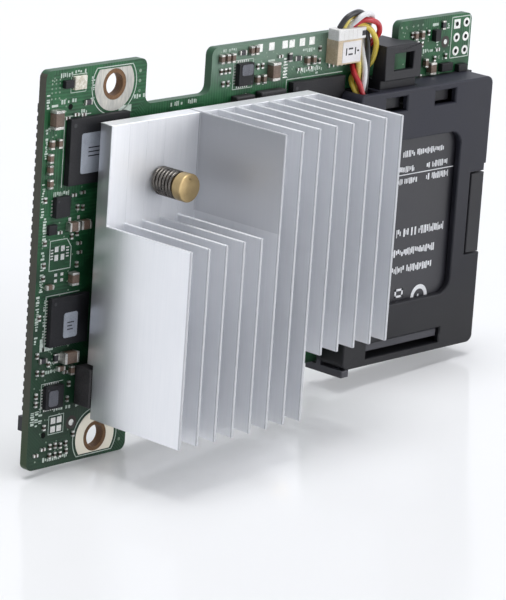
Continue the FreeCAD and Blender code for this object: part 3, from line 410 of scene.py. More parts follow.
def dress(node, material):
    # a CAD piece whose shape is right keeps its mesh and gets a finish
    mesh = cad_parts[node].data
    mesh.materials.clear()
    mesh.materials.append(material)


# Circuit board. Ranges run over the object's x and z in millimetres.
# the low tone and the corner tone are painted shade, the sheen tone a painted sheen
boardTones = {"deep": (17, 62, 36), "mid": (34, 94, 56), "trace": (58, 122, 80),
              "edge": (40, 82, 56), "laminate": (78, 77, 64), "laminateDark": (50, 52, 42),
              "lowLaminate": (46, 72, 38), "lowShadeTone": (12, 38, 24),
              "paintedSheen": (132, 154, 140), "corner": (18, 26, 22)}
boardPattern = {"cell": 0.14, "pitch": 0.62, "line": (0.12, 0.16), "level": 0.4, "sloped": 0.75,
                "busy": 0.45, "traceTone": 0.32, "traceRise": 0.00002, "traceBump": 0.35,
                "mottle": 0.35, "rough": (0.3, 0.5), "shine": 0.36,
                "lowFrom": (20.0, -24.0), "lowLeft": (12.0, 0.0), "lowShade": 0.8,
                "sheenFrom": (26.0, 31.0), "sheenMost": 0.65,
                "sheenLeft": (10.0, 22.0), "sheenRight": (64.0, 54.0),
                "cornerShadeFrom": (-22.0, -27.0), "cornerShadeLeft": (36.0, 42.0),
                "laminateFrom": (-18.0, -34.0), "endFrom": -15.2, "flatFrom": 0.7}


def boardMaterial():
    # Solder mask over copper: cells of parallel traces that run level, upright or at 45 degrees,
    # drawn by the distance to the nearest line of a pitch, over a mottled green. Painted shade
    # darkens the mask low at the left, where the heat sink shades it, and near the holder under the
    # heat sink's foot, and a painted sheen makes the middle tab paler. The left end shows bare
    # laminate, darker and greener towards the bottom; the other edges are mask green.
    look = boardPattern
    made, tree, shader = newMaterial("solderMask")
    place = addNode(tree, "TexCoord").outputs["Object"]
    inMm = addNode(tree, "Mapping", {"Vector": place, "Scale": (1000, 1000, 1000)}).outputs[0]
    split = addNode(tree, "SeparateXYZ", {0: inMm}).outputs
    cells = addNode(tree, "TexVoronoi", {"Vector": inMm, "Scale": look["cell"]},
                    distance="MANHATTAN")
    pick = addNode(tree, "SeparateColor", {0: cells.outputs["Color"]}).outputs
    slanted = maths(tree, "ADD", split["X"], split["Z"])
    level = maths(tree, "GREATER_THAN", pick[0], look["level"])
    sloped = maths(tree, "GREATER_THAN", pick[0], look["sloped"])
    run = blend(tree, level, split["X"], split["Z"])
    run = blend(tree, sloped, run, slanted)
    toLine = maths(tree, "PINGPONG", run, look["pitch"] / 2)
    lines = ramp(tree, toLine, *look["line"], 1.0, 0.0)
    busy = maths(tree, "GREATER_THAN", pick[1], look["busy"])
    traces = maths(tree, "MULTIPLY", lines, busy)
    mottle = noise(tree, inMm, look["mottle"], 5.0)
    tone = ramp(tree, mottle, 0.35, 0.65)
    green = mixTones(tree, tone, linear(*boardTones["deep"]), linear(*boardTones["mid"]))
    faint = maths(tree, "MULTIPLY", traces, look["traceTone"])
    face = mixTones(tree, faint, green, linear(*boardTones["trace"]))
    # painted shade: the mask darkens low at the left, where the heat sink shades the board
    depth = ramp(tree, split["Z"], *look["lowFrom"])
    atLeft = ramp(tree, split["X"], *look["lowLeft"])
    depth = maths(tree, "MULTIPLY", maths(tree, "MULTIPLY", depth, atLeft), look["lowShade"])
    face = mixTones(tree, depth, face, linear(*boardTones["lowShadeTone"]))
    # painted sheen: the middle tab is mixed towards a paler tone in place of a glossy reflection
    raised = ramp(tree, split["Z"], *look["sheenFrom"], last=look["sheenMost"])
    fromLeft = ramp(tree, split["X"], *look["sheenLeft"])
    toRight = ramp(tree, split["X"], *look["sheenRight"])
    paintedSheen = maths(tree, "MULTIPLY", raised, maths(tree, "MULTIPLY", fromLeft, toRight))
    face = mixTones(tree, paintedSheen, face, linear(*boardTones["paintedSheen"]))
    # painted shadow: the mask darkens low near the holder, under the heat sink's foot
    underSink = ramp(tree, split["Z"], *look["cornerShadeFrom"])
    byHolder = ramp(tree, split["X"], *look["cornerShadeLeft"])
    corner = maths(tree, "MULTIPLY", underSink, byHolder)
    face = mixTones(tree, corner, face, linear(*boardTones["corner"]))
    fibres = addNode(tree, "Mapping", {"Vector": inMm, "Scale": (1, 9, 0.5)}).outputs[0]
    layers = noise(tree, fibres, 1.0, 3.0)
    bare = mixTones(tree, layers, linear(*boardTones["laminateDark"]),
                    linear(*boardTones["laminate"]))
    nearFoot = ramp(tree, split["Z"], *look["laminateFrom"])
    bare = mixTones(tree, nearFoot, bare, linear(*boardTones["lowLaminate"]))
    atEnd = maths(tree, "LESS_THAN", split["X"], look["endFrom"])
    edge = mixTones(tree, atEnd, linear(*boardTones["edge"]), bare)
    normal = addNode(tree, "NewGeometry").outputs["Normal"]
    facing = maths(tree, "ABSOLUTE", addNode(tree, "SeparateXYZ", {0: normal}).outputs["Y"])
    flat = maths(tree, "GREATER_THAN", facing, look["flatFrom"])
    tree.links.new(mixTones(tree, flat, edge, face), shader.inputs["Base Color"])
    gloss = ramp(tree, mottle, first=look["rough"][0], last=look["rough"][1])
    tree.links.new(gloss, shader.inputs["Roughness"])
    bump = addNode(tree, "Bump", {"Height": traces, "Distance": look["traceRise"],
                                  "Strength": look["traceBump"]}).outputs[0]
    tree.links.new(bump, shader.inputs["Normal"])
    shader.inputs["Specular IOR Level"].default_value = look["shine"]
    return made


dress("circuit_board", boardMaterial())

silkInk = finish("silkInk", (176, 194, 182), (210, 220, 212), (0.5, 0.65), patch=900.0)
tinnedPad = finish("tinnedPad", (196, 198, 196), (236, 236, 232), (0.25, 0.45), patch=700.0,
                   Metallic=0.6)
boreCopper = finish("boreCopper", (92, 64, 40), (128, 94, 60), (0.5, 0.7), patch=500.0,
                    Metallic=0.1)
# dark discs stand in for the open holes: painted shade of their insides
holeShade = finish("holeShade", (4, 8, 6), (14, 20, 16), (0.5, 0.7), patch=900.0,
                 Specular_IOR_Level=0.1)
wellBrown = finish("wellBrown", (30, 24, 20), (50, 40, 34), (0.4, 0.6), patch=900.0)
viaTin = finish("viaTin", (96, 124, 104), (150, 168, 150), (0.35, 0.5), patch=900.0,
                Metallic=0.3)
# the lower screw ring comes in a lighter, warmer tone: painted light
ringTin = finish("ringTin", (164, 164, 160), (202, 199, 190), (0.35, 0.5), grain=3000.0,
                 relief=0.000006, stretch=(1, 1, 0.2), patch=300.0, Metallic=0.55,
                 lower={"from": 0.02, "to": -0.02, "tone": (242, 236, 220)})
dress("screw_hole_rings", ringTin)

printStrokes = {"seed": 11, "wide": (0.14, 0.42), "gap": (0.1, 0.26), "shares": [1.0, 0.55, 0.8]}
seeded = np.random.default_rng(printStrokes["seed"])


def marks(left, low, length, tall, upright=False, density=0.78):
    # a row of small plain strokes that say nothing: each has a random width, a share of the row's
    # height and a random gap after it, and density is the chance that it is there
    place, rows = 0.0, []
    while place < length:
        wide = seeded.uniform(*printStrokes["wide"])
        if seeded.random() < density:
            high = tall * seeded.choice(printStrokes["shares"])
            rise = (tall - high) * seeded.random()
            rows.append((left + rise, low + place, high, wide) if upright
                        else (left + place, low + rise, wide, high))
        place += wide + seeded.uniform(*printStrokes["gap"])
    return bars(rows)


def padRows(left, low, count, pitch, wide, tall, upright=False):
    # equal pads, pad k at k * pitch along the row
    step = np.arange(count) * pitch
    still = np.zeros(count)
    across, up = (still, step) if upright else (step, still)
    return bars(np.stack([left + across, low + up, still + wide, still + tall], -1))


def boxStrokes(left, low, right, high, width):
    # a line round a rectangle, back to its first corner
    return strokes([(left, low), (right, low), (right, high), (left, high), (left, low)], width)


# Printed outlines, then rows of strokes (left, low, length, tall, upright).
silk = [
    bars([(16.8, 59.3, 2.9, 1.2), (1.5, 61.9, 1.4, 0.4), (52.3, 64.2, 1.7, 0.4),
          (95.2, 66.4, 1.6, 0.5), (1.0, 58.3, 2.4, 0.3)]),
    strokes([(4.6, 48.2), (4.6, 60.0), (10.4, 60.0)], 0.16),
    strokes([(57.3, 49.4), (57.3, 60.6), (71.6, 60.6)], 0.16),
    strokes([(2.5, 21.0), (2.5, 29.9), (10.0, 29.9)], 0.16),
    strokes([(2.8, 34.2), (7.6, 34.2), (7.6, 37.8), (6.6, 39.3), (2.8, 39.3), (2.8, 34.2)], 0.14),
    bars([(1.6, 20.5, 1.1, 2.2), (2.2, 20.5, 2.4, 0.7)]),
    boxStrokes(4.6, 5.7, 8.0, 8.9, 0.12),
    boxStrokes(5.6, 63.9, 9.0, 66.9, 0.12),
    strokes([(2.5, 9.9), (2.5, 14.8), (7.4, 14.8)], 0.12),
    boxStrokes(43.8, 60.3, 48.6, 65.3, 0.12),
    strokes([(100.6, 60.0), (100.6, 67.5), (105.6, 67.5), (105.6, 60.0), (100.6, 60.0)], 0.16),
    boxStrokes(100.7, 54.6, 103.1, 57.2, 0.12),
    boxStrokes(103.4, 54.6, 105.8, 57.2, 0.12),
    hoop(15.5, 64.35, 5.1, 0.16, 143, 397, 44), strokes([(11.4, 67.4), (19.6, 67.4)], 0.16),
    hoop(15.5, 3.65, 5.1, 0.16, -37, 217, 44), strokes([(11.4, 0.6), (19.6, 0.6)], 0.16),
]
for left, low, length, tall, upright in [
        (0.25, 22.0, 8.0, 0.75, True), (0.25, 43.0, 7.2, 0.75, True), (2.0, 22.0, 7.5, 0.6, True),
        (2.6, 46.6, 3.8, 0.95, False), (0.3, 7.5, 3.4, 0.9, True), (1.3, 7.6, 3.2, 0.9, True),
        (2.2, 8.0, 2.6, 0.8, True), (0.3, 61.7, 2.4, 0.7, True), (3.2, 66.6, 2.6, 0.8, False),
        (6.4, 67.0, 2.4, 0.6, False), (3.6, 62.2, 3.4, 0.75, False), (10.2, 62.4, 3.6, 0.8, True),
        (8.2, 60.2, 2.2, 0.7, False), (20.2, 61.3, 2.2, 0.8, False), (29.0, 59.0, 6.2, 0.8, False),
        (0.8, 30.8, 6.6, 0.8, True), (0.9, 38.6, 4.6, 0.8, True), (3.2, 16.4, 2.2, 0.7, False),
        (0.4, 52.5, 5.6, 0.7, True), (4.2, 17.9, 0.9, 0.6, False), (3.6, 1.0, 5.6, 0.8, False),
        (5.6, 9.6, 2.0, 0.7, False), (8.3, 9.6, 3.0, 0.7, False), (9.1, 50.6, 6.4, 0.6, True),
        (41.0, 67.0, 3.2, 0.6, False), (46.4, 58.6, 1.2, 0.7, False), (56.3, 60.6, 4.0, 0.8, True),
        (59.5, 61.4, 6.6, 0.9, False), (61.0, 65.0, 2.8, 0.7, False), (50.2, 60.4, 1.9, 0.6, False),
        (64.6, 60.9, 2.0, 0.6, True), (93.0, 61.6, 4.4, 0.8, False), (90.4, 61.2, 2.2, 0.7, False),
        (96.4, 61.6, 3.4, 0.7, True), (99.2, 65.6, 1.6, 0.7, True), (89.8, 63.0, 2.2, 0.6, False)]:
    silk.append(marks(left, low, length, tall, upright))
sunk = -0.05  # print, pads and vias start this far under the board's face
slabs("silk_marks", silk, sunk, 0.02, silkInk, "white_label")

pads = [
    discs([(9.8, 7.0, 0.55), (104.6, 66.3, 0.85), (102.1, 63.7, 0.85), (104.6, 63.7, 0.85),
           (102.1, 61.2, 0.85), (104.6, 61.2, 0.85), (99.05, 63.2, 0.45), (101.9, 55.9, 0.95),
           (104.6, 55.9, 0.95)]),
    bars([(x, z, 1.05, 1.05) for z in (7.48, 5.98) for x in (5.08, 6.48)]),
    bars([(101.15, 65.35, 1.7, 1.7), (3.9, 35.8, 0.8, 1.0), (5.3, 35.8, 0.8, 1.0),
          (3.9, 37.3, 0.8, 0.9), (5.3, 37.3, 0.8, 0.9), (4.1, 33.1, 0.6, 0.5),
          (4.1, 32.1, 0.6, 0.5), (5.5, 33.1, 0.6, 0.5), (5.5, 32.1, 0.6, 0.5),
          (6.6, 42.2, 0.6, 0.6), (8.6, 42.3, 0.6, 0.6), (5.5, 18.4, 1.0, 1.2)]),
    bars([(x, 66.25, 1.35, 1.35) for x in (49.35, 52.3, 55.65, 57.4, 60.0, 62.5)]),
    padRows(3.0, 36.1, 4, 0.5, 0.55, 0.22, True), padRows(6.5, 36.2, 4, 0.5, 0.6, 0.22, True),
    padRows(56.3, 61.0, 7, 0.55, 1.0, 0.2, True),
    # pads round the regulators, the bridge chip and the outline chip
    padRows(3.2, 14.45, 7, 0.5, 0.25, 0.4), padRows(3.2, 9.95, 7, 0.5, 0.25, 0.4),
    padRows(2.5, 10.7, 7, 0.5, 0.4, 0.25, True), padRows(7.0, 10.7, 7, 0.5, 0.4, 0.25, True),
    padRows(44.7, 64.85, 6, 0.5, 0.25, 0.4), padRows(44.7, 60.45, 6, 0.5, 0.25, 0.4),
    padRows(43.95, 61.2, 7, 0.5, 0.4, 0.25, True), padRows(48.05, 61.2, 7, 0.5, 0.4, 0.25, True),
    padRows(2.6, 21.7, 15, 0.52, 0.35, 0.2, True), padRows(3.6, 20.85, 14, 0.52, 0.2, 0.3),
    padRows(2.55, 43.6, 5, 0.6, 0.3, 0.3, True), padRows(6.15, 43.6, 5, 0.6, 0.3, 0.3, True),
]
slabs("bare_pads", pads, sunk, 0.035, tinnedPad, "end_metal")


def scattered(left, right, low, high, count, radius):
    # vias at random places in a rectangle, the places across drawn before the heights
    places = [seeded.uniform(left, right, count), seeded.uniform(low, high, count)]
    return discs(np.column_stack([*places, np.full(count, radius)]), 8)


testDots = [(x, z, 0.17) for x in (1.4, 2.25, 3.1) for z in (63.3, 64.3, 65.0, 65.8, 66.4)]
vias = [discs(testDots, 12), scattered(0.8, 9.4, 0.8, 67.0, 90, 0.16),
        scattered(40.5, 66.0, 60.8, 67.2, 90, 0.15), scattered(87.0, 100.0, 55.0, 67.2, 50, 0.15),
        discs([(x, 66.9, 0.22) for x in (86.8, 88.0, 89.9, 91.2, 92.5)], 10),
        discs([(21.4, low, 0.3) for low in (62.6, 64.3, 66.0, 2.0, 3.8, 5.6)], 10)]
slabs("via_dots", vias, sunk, 0.012, viaTin, "end_metal")
# the holes' insides are drawn as dark discs: painted shade
holes = [(3.5, 5.8, 0.5), (5.7, 61.6, 0.5), (104.6, 66.3, 0.42), (102.1, 63.7, 0.42),
         (104.6, 63.7, 0.42), (102.1, 61.2, 0.42), (104.6, 61.2, 0.42), (102.0, 66.2, 0.42),
         (101.9, 55.9, 0.5), (104.6, 55.9, 0.5)]
slabs("hole_shade_discs", [discs(holes)], sunk, 0.045, holeShade, "circuit_board")
slabs("fiducial_wells", [hoop(9.8, 7.0, 0.9, 0.6, 0, 360), hoop(99.05, 63.2, 0.8, 0.55, 0, 360)],
      sunk, 0.015, wellBrown, "circuit_board")
# copper linings of the two screw holes, a closed profile (radius, out)
lining = [(2.62, 0.0), (2.62, 0.05), (1.93, 0.05), (1.93, -1.6), (2.5, -1.6), (2.5, -1.5),
          (2.62, 0.0)]
lathe("screw_hole_linings", [(15.5, 3.65), (15.5, 64.35)], lining, boreCopper,
      sides=56)

# Tiny two-ended chips that the CAD leaves out, as (left, low, upright) of their middles: end pads
# at each side of a body.
tinyChip = {"shift": 0.36, "endLong": 0.28, "endWide": 0.52, "coreLong": 0.46, "coreWide": 0.5}
tinyChips = [
    (8.6, 60.0, False), (7.0, 60.2, False), (5.0, 59.8, False), (1.0, 46.5, True),
    (2.3, 41.0, False), (4.6, 40.6, False), (1.4, 39.2, True), (8.6, 40.0, True),
    (7.4, 39.6, True), (9.6, 44.2, True), (8.4, 44.4, True), (7.4, 46.6, False),
    (9.4, 46.8, False), (1.4, 35.4, True), (1.4, 33.2, True), (9.2, 38.2, False),
    (9.4, 36.6, False), (8.9, 34.6, True), (1.0, 26.5, True), (1.0, 20.0, True),
    (3.6, 18.2, True), (7.6, 16.2, False), (1.2, 17.0, True), (2.4, 16.8, True),
    (8.6, 14.0, True), (8.4, 11.4, True), (1.2, 13.0, True), (1.2, 11.6, True),
    (3.4, 3.4, False), (5.0, 3.6, True), (6.2, 3.6, True), (7.4, 3.4, True),
    (8.6, 3.6, True), (5.0, 2.0, True), (6.2, 2.0, True), (7.4, 1.9, True),
    (8.8, 2.2, True), (1.8, 2.6, False), (10.2, 5.0, True), (3.4, 7.2, True),
    (42.6, 63.8, True), (41.6, 63.8, True), (40.6, 63.8, True), (42.4, 61.6, True),
    (41.2, 61.6, True), (49.6, 63.8, True), (50.8, 63.8, True), (54.4, 62.4, True),
    (55.2, 65.0, False), (60.2, 62.2, False), (62.8, 62.2, False), (65.2, 63.2, True),
    (65.2, 65.4, True), (91.2, 63.6, True), (92.4, 63.4, True), (89.6, 65.4, True),
    (94.0, 65.4, True), (96.8, 62.0, False), (96.2, 60.4, True), (99.2, 60.6, True),
    (91.4, 59.4, True), (92.6, 57.4, True), (96.4, 55.6, False)]


def chipBar(x, z, upright, shift, long, wide):
    # a bar about a chip's middle, shifted along the chip
    if upright:
        return (x - wide / 2, z + shift - long / 2, wide, long)
    return (x + shift - long / 2, z - wide / 2, long, wide)


ends = [chipBar(*chip, shift, tinyChip["endLong"], tinyChip["endWide"]) for chip in tinyChips
        for shift in (-tinyChip["shift"], tinyChip["shift"])]
cores = [chipBar(*chip, 0.0, tinyChip["coreLong"], tinyChip["coreWide"]) for chip in tinyChips]
slabs("tiny_chip_ends", [bars(ends)], -0.03, 0.36, tinnedPad, "end_metal")
tinyBrown = finish("tinyChipBrown", (36, 30, 28), (92, 76, 64), (0.45, 0.6), patch=320.0)
slabs("tiny_chip_bodies", [bars(cores)], -0.03, 0.35, tinyBrown, "ceramic")
print("board marked")

# Chips: each finish goes with a slot and the width of the bevel in millimetres.
mouldedBlack = finish("mouldedBlack", (18, 18, 21), (32, 32, 36), (0.42, 0.6), grain=7000.0,
                      relief=0.000006, patch=260.0, Specular_IOR_Level=0.3)
ferrite = finish("ferrite", (34, 33, 35), (58, 56, 58), (0.5, 0.7), grain=5000.0,
                 relief=0.00001, patch=420.0)
ceramicBrown = finish("ceramicBrown", (92, 76, 66), (124, 104, 90), (0.35, 0.5),
                      grain=6000.0, relief=0.000004, patch=420.0)
resistorBlack = finish("resistorBlack", (24, 24, 28), (44, 44, 50), (0.3, 0.45), patch=500.0)
solderEnds = finish("solderEnds", (150, 150, 148), (216, 214, 208), (0.22, 0.4), patch=600.0,
                    Metallic=0.75)
lightLens = finish("lightLens", (196, 188, 164), (240, 238, 230), (0.2, 0.35), patch=900.0,
                   Coat_Weight=0.5)
paperLabel = finish("paperLabel", (222, 220, 222), (240, 238, 240), (0.5, 0.62), patch=300.0)
labelInk = finish("labelInk", (22, 22, 26), (44, 44, 50), (0.5, 0.6), patch=500.0)
chipFinishes = [
    (mouldedBlack, "chip_plastic", {
        "memory_chips": 0.07, "bridge_chip": 0.08, "lower_regulator_chip": 0.06,
        "upper_regulator_chip": 0.06, "outline_chip": 0.1, "logic_chip": 0.08,
        "transistor_chip": 0.08, "diodes": 0.1}),
    (lightLens, "light_lens", {"status_light": 0.12}),
    (ferrite, "inductor_block", {"power_inductor": 0.3, "filter_inductors": 0.2}),
    (ceramicBrown, "ceramic", {"large_capacitors": 0.1, "medium_capacitors": 0.08,
                               "small_capacitors": 0.06}),
    (resistorBlack, "resistor_body", {"chip_resistors": 0.05}),
    (solderEnds, "end_metal", {"chip_end_caps": 0.06})]
for material, slotName, widths in chipFinishes:
    for node, width in widths.items():
        roundedCopy(node + "_dressed", node, material, width)
# the paper labels on the left memory chip and the bridge chip are painted grey: painted shade from
# the heat sink
paintedShadeLabel = finish("paintedShadeLabel", (142, 148, 158), (168, 174, 184), (0.5, 0.62), patch=300.0)
smokeLabel = finish("smokeLabel", (78, 80, 88), (112, 114, 122), (0.35, 0.5), patch=300.0)
# Labels on the left memory chip, the bridge chip and the two regulators: place, size, top, finish.
chipLabels = [(7.5, 50.3, 8.0, 6.8, 1.28, paintedShadeLabel), (5.9, 22.5, 3.1, 4.3, 1.03, paintedShadeLabel),
              (3.55, 10.9, 2.1, 2.7, 0.93, smokeLabel), (45.0, 62.7, 2.7, 1.9, 1.03, smokeLabel)]
labelCorner, labelThick = 0.45, 0.08
for i, (*spot, top, material) in enumerate(chipLabels):
    outline = roundedBar(*spot, labelCorner)
    slabs("rounded_label_%d" % i, [outline], top - labelThick, top, material,
                               "white_label")
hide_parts("chip_labels")
dress("socket_sticker", paperLabel)
# Plain bars stand where the labels are printed.
chipBars = bars([(9.1, 54.5, 3.4, 0.2), (9.1, 53.8, 2.6, 0.2), (9.1, 53.1, 3.0, 0.2)])
slabs("chip_label_marks", [chipBars], 1.25, 1.29, labelInk, "dark_label")
bridgeBars = bars([(6.7, 25.0, 1.5, 0.2), (6.7, 24.4, 1.1, 0.2), (6.7, 23.8, 1.3, 0.2)])
slabs("bridge_label_marks", [bridgeBars], 1.0, 1.04, labelInk, "dark_label")
stickerBars = bars([(69.0, 64.2, 0.3, 1.3), (69.7, 64.2, 1.1, 0.3), (69.7, 65.2, 1.1, 0.3),
                    (71.3, 64.2, 0.3, 1.3), (71.9, 64.7, 0.5, 0.3)])
slabs("sticker_marks", [stickerBars], 2.85, 2.89, labelInk, "dark_label")
# Moulded dimples near the chips' corners: the face that they stand on, then (left, low, radius).
dimples = [(1.2, [(6.0, 58.6, 0.35), (58.9, 59.1, 0.35)]),
           (0.95, [(3.9, 28.6, 0.3), (3.4, 46.1, 0.22)]),
           (0.85, [(3.5, 13.8, 0.2)]), (0.95, [(47.5, 61.5, 0.2)])]
for i, (out, rows) in enumerate(dimples):
    slabs("mould_dimples_%d" % i, [discs(rows, 20)], out - 0.05, out + 0.01, resistorBlack,
          "chip_plastic")
print("chips dressed")

# Heat sink. Places in the material are the object's x, y and z in metres.
sinkTones = {"dark": (232, 234, 238), "light": (241, 242, 245), "streak": 2600.0, "squeeze": 0.035,
             "cloud": 90.0, "relief": 0.0000004,
             "smooth": (0.3, 0.34), "dull": (0.42, 0.5), "smoothMetal": 0.96, "dullMetal": 0.5,
             "smoothTo": -0.00535, "tips": (188, 190, 194), "tipsFrom": -0.02638}
# the inner wall's tone is painted shade, growing upwards
innerWall = {"across": 0.01516, "slack": 0.0003, "low": 0.0082, "top": 0.024, "least": 0.35,
             "tone": (176, 178, 183)}


def aluminiumMaterial():
    # Extruded aluminium: faint streaks along the fins' length, from noise squeezed along z, and
    # slow cloudy patches. The left end face is smoother than the deck and the faces between the
    # fins, the fins' tips are greyer, and painted shade darkens the wall beside the upper pin
    # upwards.
    made, tree, shader = newMaterial("extrudedAluminium")
    place = addNode(tree, "TexCoord").outputs["Object"]
    squeezed = (1.0, 1.0, sinkTones["squeeze"])
    drawn = addNode(tree, "Mapping", {"Vector": place, "Scale": squeezed}).outputs[0]
    streaks = noise(tree, drawn, sinkTones["streak"], 4.0)
    clouds = noise(tree, place, sinkTones["cloud"], 3.0)
    both = maths(tree, "ADD", streaks, clouds)
    tone = ramp(tree, both, 0.6, 1.4)
    colour = mixTones(tree, tone, linear(*sinkTones["dark"]), linear(*sinkTones["light"]))
    split = addNode(tree, "SeparateXYZ", {0: place}).outputs
    atTips = maths(tree, "LESS_THAN", split["Y"], sinkTones["tipsFrom"])
    colour = mixTones(tree, atTips, colour, linear(*sinkTones["tips"]))
    # painted shade: the wall beside the upper pin is mixed towards a darker tone, more so upwards
    onWall = maths(tree, "COMPARE", split["X"], innerWall["across"], innerWall["slack"])
    upward = ramp(tree, split["Z"], innerWall["low"], innerWall["top"], innerWall["least"])
    bare = maths(tree, "GREATER_THAN", split["Z"], innerWall["low"])
    shade = maths(tree, "MULTIPLY", maths(tree, "MULTIPLY", onWall, upward), bare)
    colour = mixTones(tree, shade, colour, linear(*innerWall["tone"]))
    tree.links.new(colour, shader.inputs["Base Color"])
    smooth = maths(tree, "LESS_THAN", split["X"], sinkTones["smoothTo"])
    ends = [blend(tree, smooth, sinkTones["dull"][i], sinkTones["smooth"][i])
            for i in (0, 1)]
    gloss = ramp(tree, streaks, 0.3, 0.7, ends[0], ends[1])
    tree.links.new(gloss, shader.inputs["Roughness"])
    metal = blend(tree, smooth, sinkTones["dullMetal"], sinkTones["smoothMetal"])
    tree.links.new(metal, shader.inputs["Metallic"])
    bump = addNode(tree, "Bump", {"Height": streaks, "Distance": sinkTones["relief"]}).outputs[0]
    tree.links.new(bump, shader.inputs["Normal"])
    return made


aluminium = aluminiumMaterial()
roundedCopy("finned_heat_sink", "heat_sink", aluminium, 0.13)
# Low roots are left on the deck where fins were milled away: (from low, tall, which fins). The
# first stands a little in from the deck's edge.
fins = {"left": 10.1, "across": 49.9, "thick": 0.56, "count": 13, "inset": 0.15,
        "root": (5.5, 5.59), "milled": [(42.2, 16.7, range(5)), (8.7, 10.5, range(8, 13))]}
finPitch = (fins["across"] - fins["thick"]) / (fins["count"] - 1)
stubs = [(fins["left"] + i * finPitch + (0.0 if i else fins["inset"]), low, fins["thick"], tall)
         for low, tall, which in fins["milled"] for i in which]
slabs("milled_fin_roots", [bars(stubs)], *fins["root"], aluminium, "aluminium_fins")

# Brass pins, turned from one profile (radius, out). The grooves on a pin's head are drawn by the
# distance from its axis, kept with each point of the mesh.
brass = {"dark": (158, 136, 94), "light": (200, 176, 132), "rough": (0.22, 0.4), "groove": 0.06,
         "grooveDeep": 0.00004, "tarnish": 700.0, "spots": [(21.9, 48.5), (48.2, 13.95)],
         "profile": [(0.0, 12.36), (2.15, 12.5), (2.35, 12.46), (2.45, 12.32), (2.45, 10.75),
                     (2.33, 10.6), (1.3, 10.6), (1.25, 10.45), (1.25, -1.5), (1.3, -1.57),
                     (1.85, -1.6), (1.95, -1.75), (1.3, -2.6), (0.8, -3.5), (0.6, -3.72),
                     (0.0, -3.77)]}
turnedBrass, tree, shader = newMaterial("turnedBrass")
place = addNode(tree, "TexCoord").outputs["Object"]
tarnish = noise(tree, place, brass["tarnish"], 4.0)
tone = mixTones(tree, tarnish, linear(*brass["dark"]), linear(*brass["light"]))
tree.links.new(tone, shader.inputs["Base Color"])
rings = addNode(tree, "Attribute", attribute_name="turnRadius").outputs["Fac"]
grooves = maths(tree, "PINGPONG", rings, brass["groove"])
bump = addNode(tree, "Bump", {"Height": grooves, "Distance": brass["grooveDeep"]}).outputs[0]
tree.links.new(bump, shader.inputs["Normal"])
gloss = ramp(tree, tarnish, first=brass["rough"][0], last=brass["rough"][1])
tree.links.new(gloss, shader.inputs["Roughness"])
shader.inputs["Metallic"].default_value = 1.0
brassPins = lathe("brass_push_pins", brass["spots"], brass["profile"], turnedBrass)
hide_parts("heat_sink_pins")
spots = np.array([v.co for v in brassPins.data.vertices])[:, None]
centres = boardPoint(*np.array([(*spot, 0.0) for spot in brass["spots"]]).T)[None]
fromAxis = np.hypot(spots[..., 0] - centres[..., 0], spots[..., 2] - centres[..., 2]).min(1)
radiusNote = brassPins.data.attributes.new("turnRadius", "FLOAT", "POINT")
radiusNote.data.foreach_set("value", (fromAxis * 1000).astype(np.float32))

springSteel = finish("springSteel", (72, 70, 68), (130, 125, 119), (0.22, 0.36), grain=8000.0,
                     relief=0.000004, patch=800.0, Metallic=1.0)
spring = {"radius": 2.15, "wire": 0.3, "foot": 5.55, "tall": 5.05, "turns": 6.0, "steps": 32,
          "sides": 10}


def springPoints(left, low):
    # A tube round a helix: centre = axis + radius * (cos a, sin a), rising evenly with a, and the
    # wire's skin = centre + wire * (outward cos t + upward sin t), for each t at each a.
    a = np.arange(springRows)[:, None] * 2 * math.pi / spring["steps"]
    t = np.arange(spring["sides"])[None] * 2 * math.pi / spring["sides"]
    rise = spring["wire"] + (spring["tall"] - 2 * spring["wire"]) * a / a[-1]
    wide = spring["radius"] + spring["wire"] * np.cos(t)
    return boardPoint(left + wide * np.cos(a), low + wide * np.sin(a),
                      spring["foot"] + rise + spring["wire"] * np.sin(t)).reshape(-1, 3)


springRows, sides = int(spring["turns"] * spring["steps"]) + 1, spring["sides"]
i, j = np.meshgrid(np.arange(springRows - 1), np.arange(sides), indexing="ij")
after = (j + 1) % sides
row, above = i * sides, (i + 1) * sides
skin = np.stack([row + j, row + after, above + after, above + j], -1)
points, faces = [springPoints(left, low) for left, low in brass["spots"]], []
for base in (0, springRows * sides):
    # the skin, then the first ring turned round and the last ring as flat ends
    faces += (base + skin).reshape(-1, 4).tolist()
    faces.append(list(range(base + sides - 1, base - 1, -1)))
    faces.append(list(range(base + (springRows - 1) * sides, base + springRows * sides)))
springs = addPiece("coil_springs", np.concatenate(points), faces, springSteel,
                   smooth=True)
tidyMesh(springs.data)
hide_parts("pin_springs")

# The processor and its pad, hidden under the heat sink.
substrateGreen = finish("substrateGreen", (34, 66, 44), (52, 88, 60), (0.4, 0.5), patch=300.0)
lidNickel = finish("lidNickel", (150, 150, 152), (186, 186, 188), (0.3, 0.45), patch=200.0,
                   Metallic=0.9)
thermalGrey = finish("thermalGrey", (120, 122, 126), (150, 152, 156), (0.7, 0.85), patch=400.0)
dress("processor_substrate", substrateGreen)
dress("processor_lid", lidNickel)
dress("thermal_pad", thermalGrey)
print("heat sink dressed")

# Mezzanine connector on the back.
connectorBlack = finish("connectorBlack", (24, 25, 30), (44, 45, 52), (0.4, 0.55), grain=5000.0,
                        relief=0.000006, patch=200.0)
goldContact = finish("goldContact", (176, 138, 62), (220, 186, 104), (0.2, 0.35), patch=500.0,
                     Metallic=1.0)
roundedCopy("mezzanine_housing", "mezzanine_connector_housing", connectorBlack,
            0.1)
dress("mezzanine_connector_contacts", goldContact)

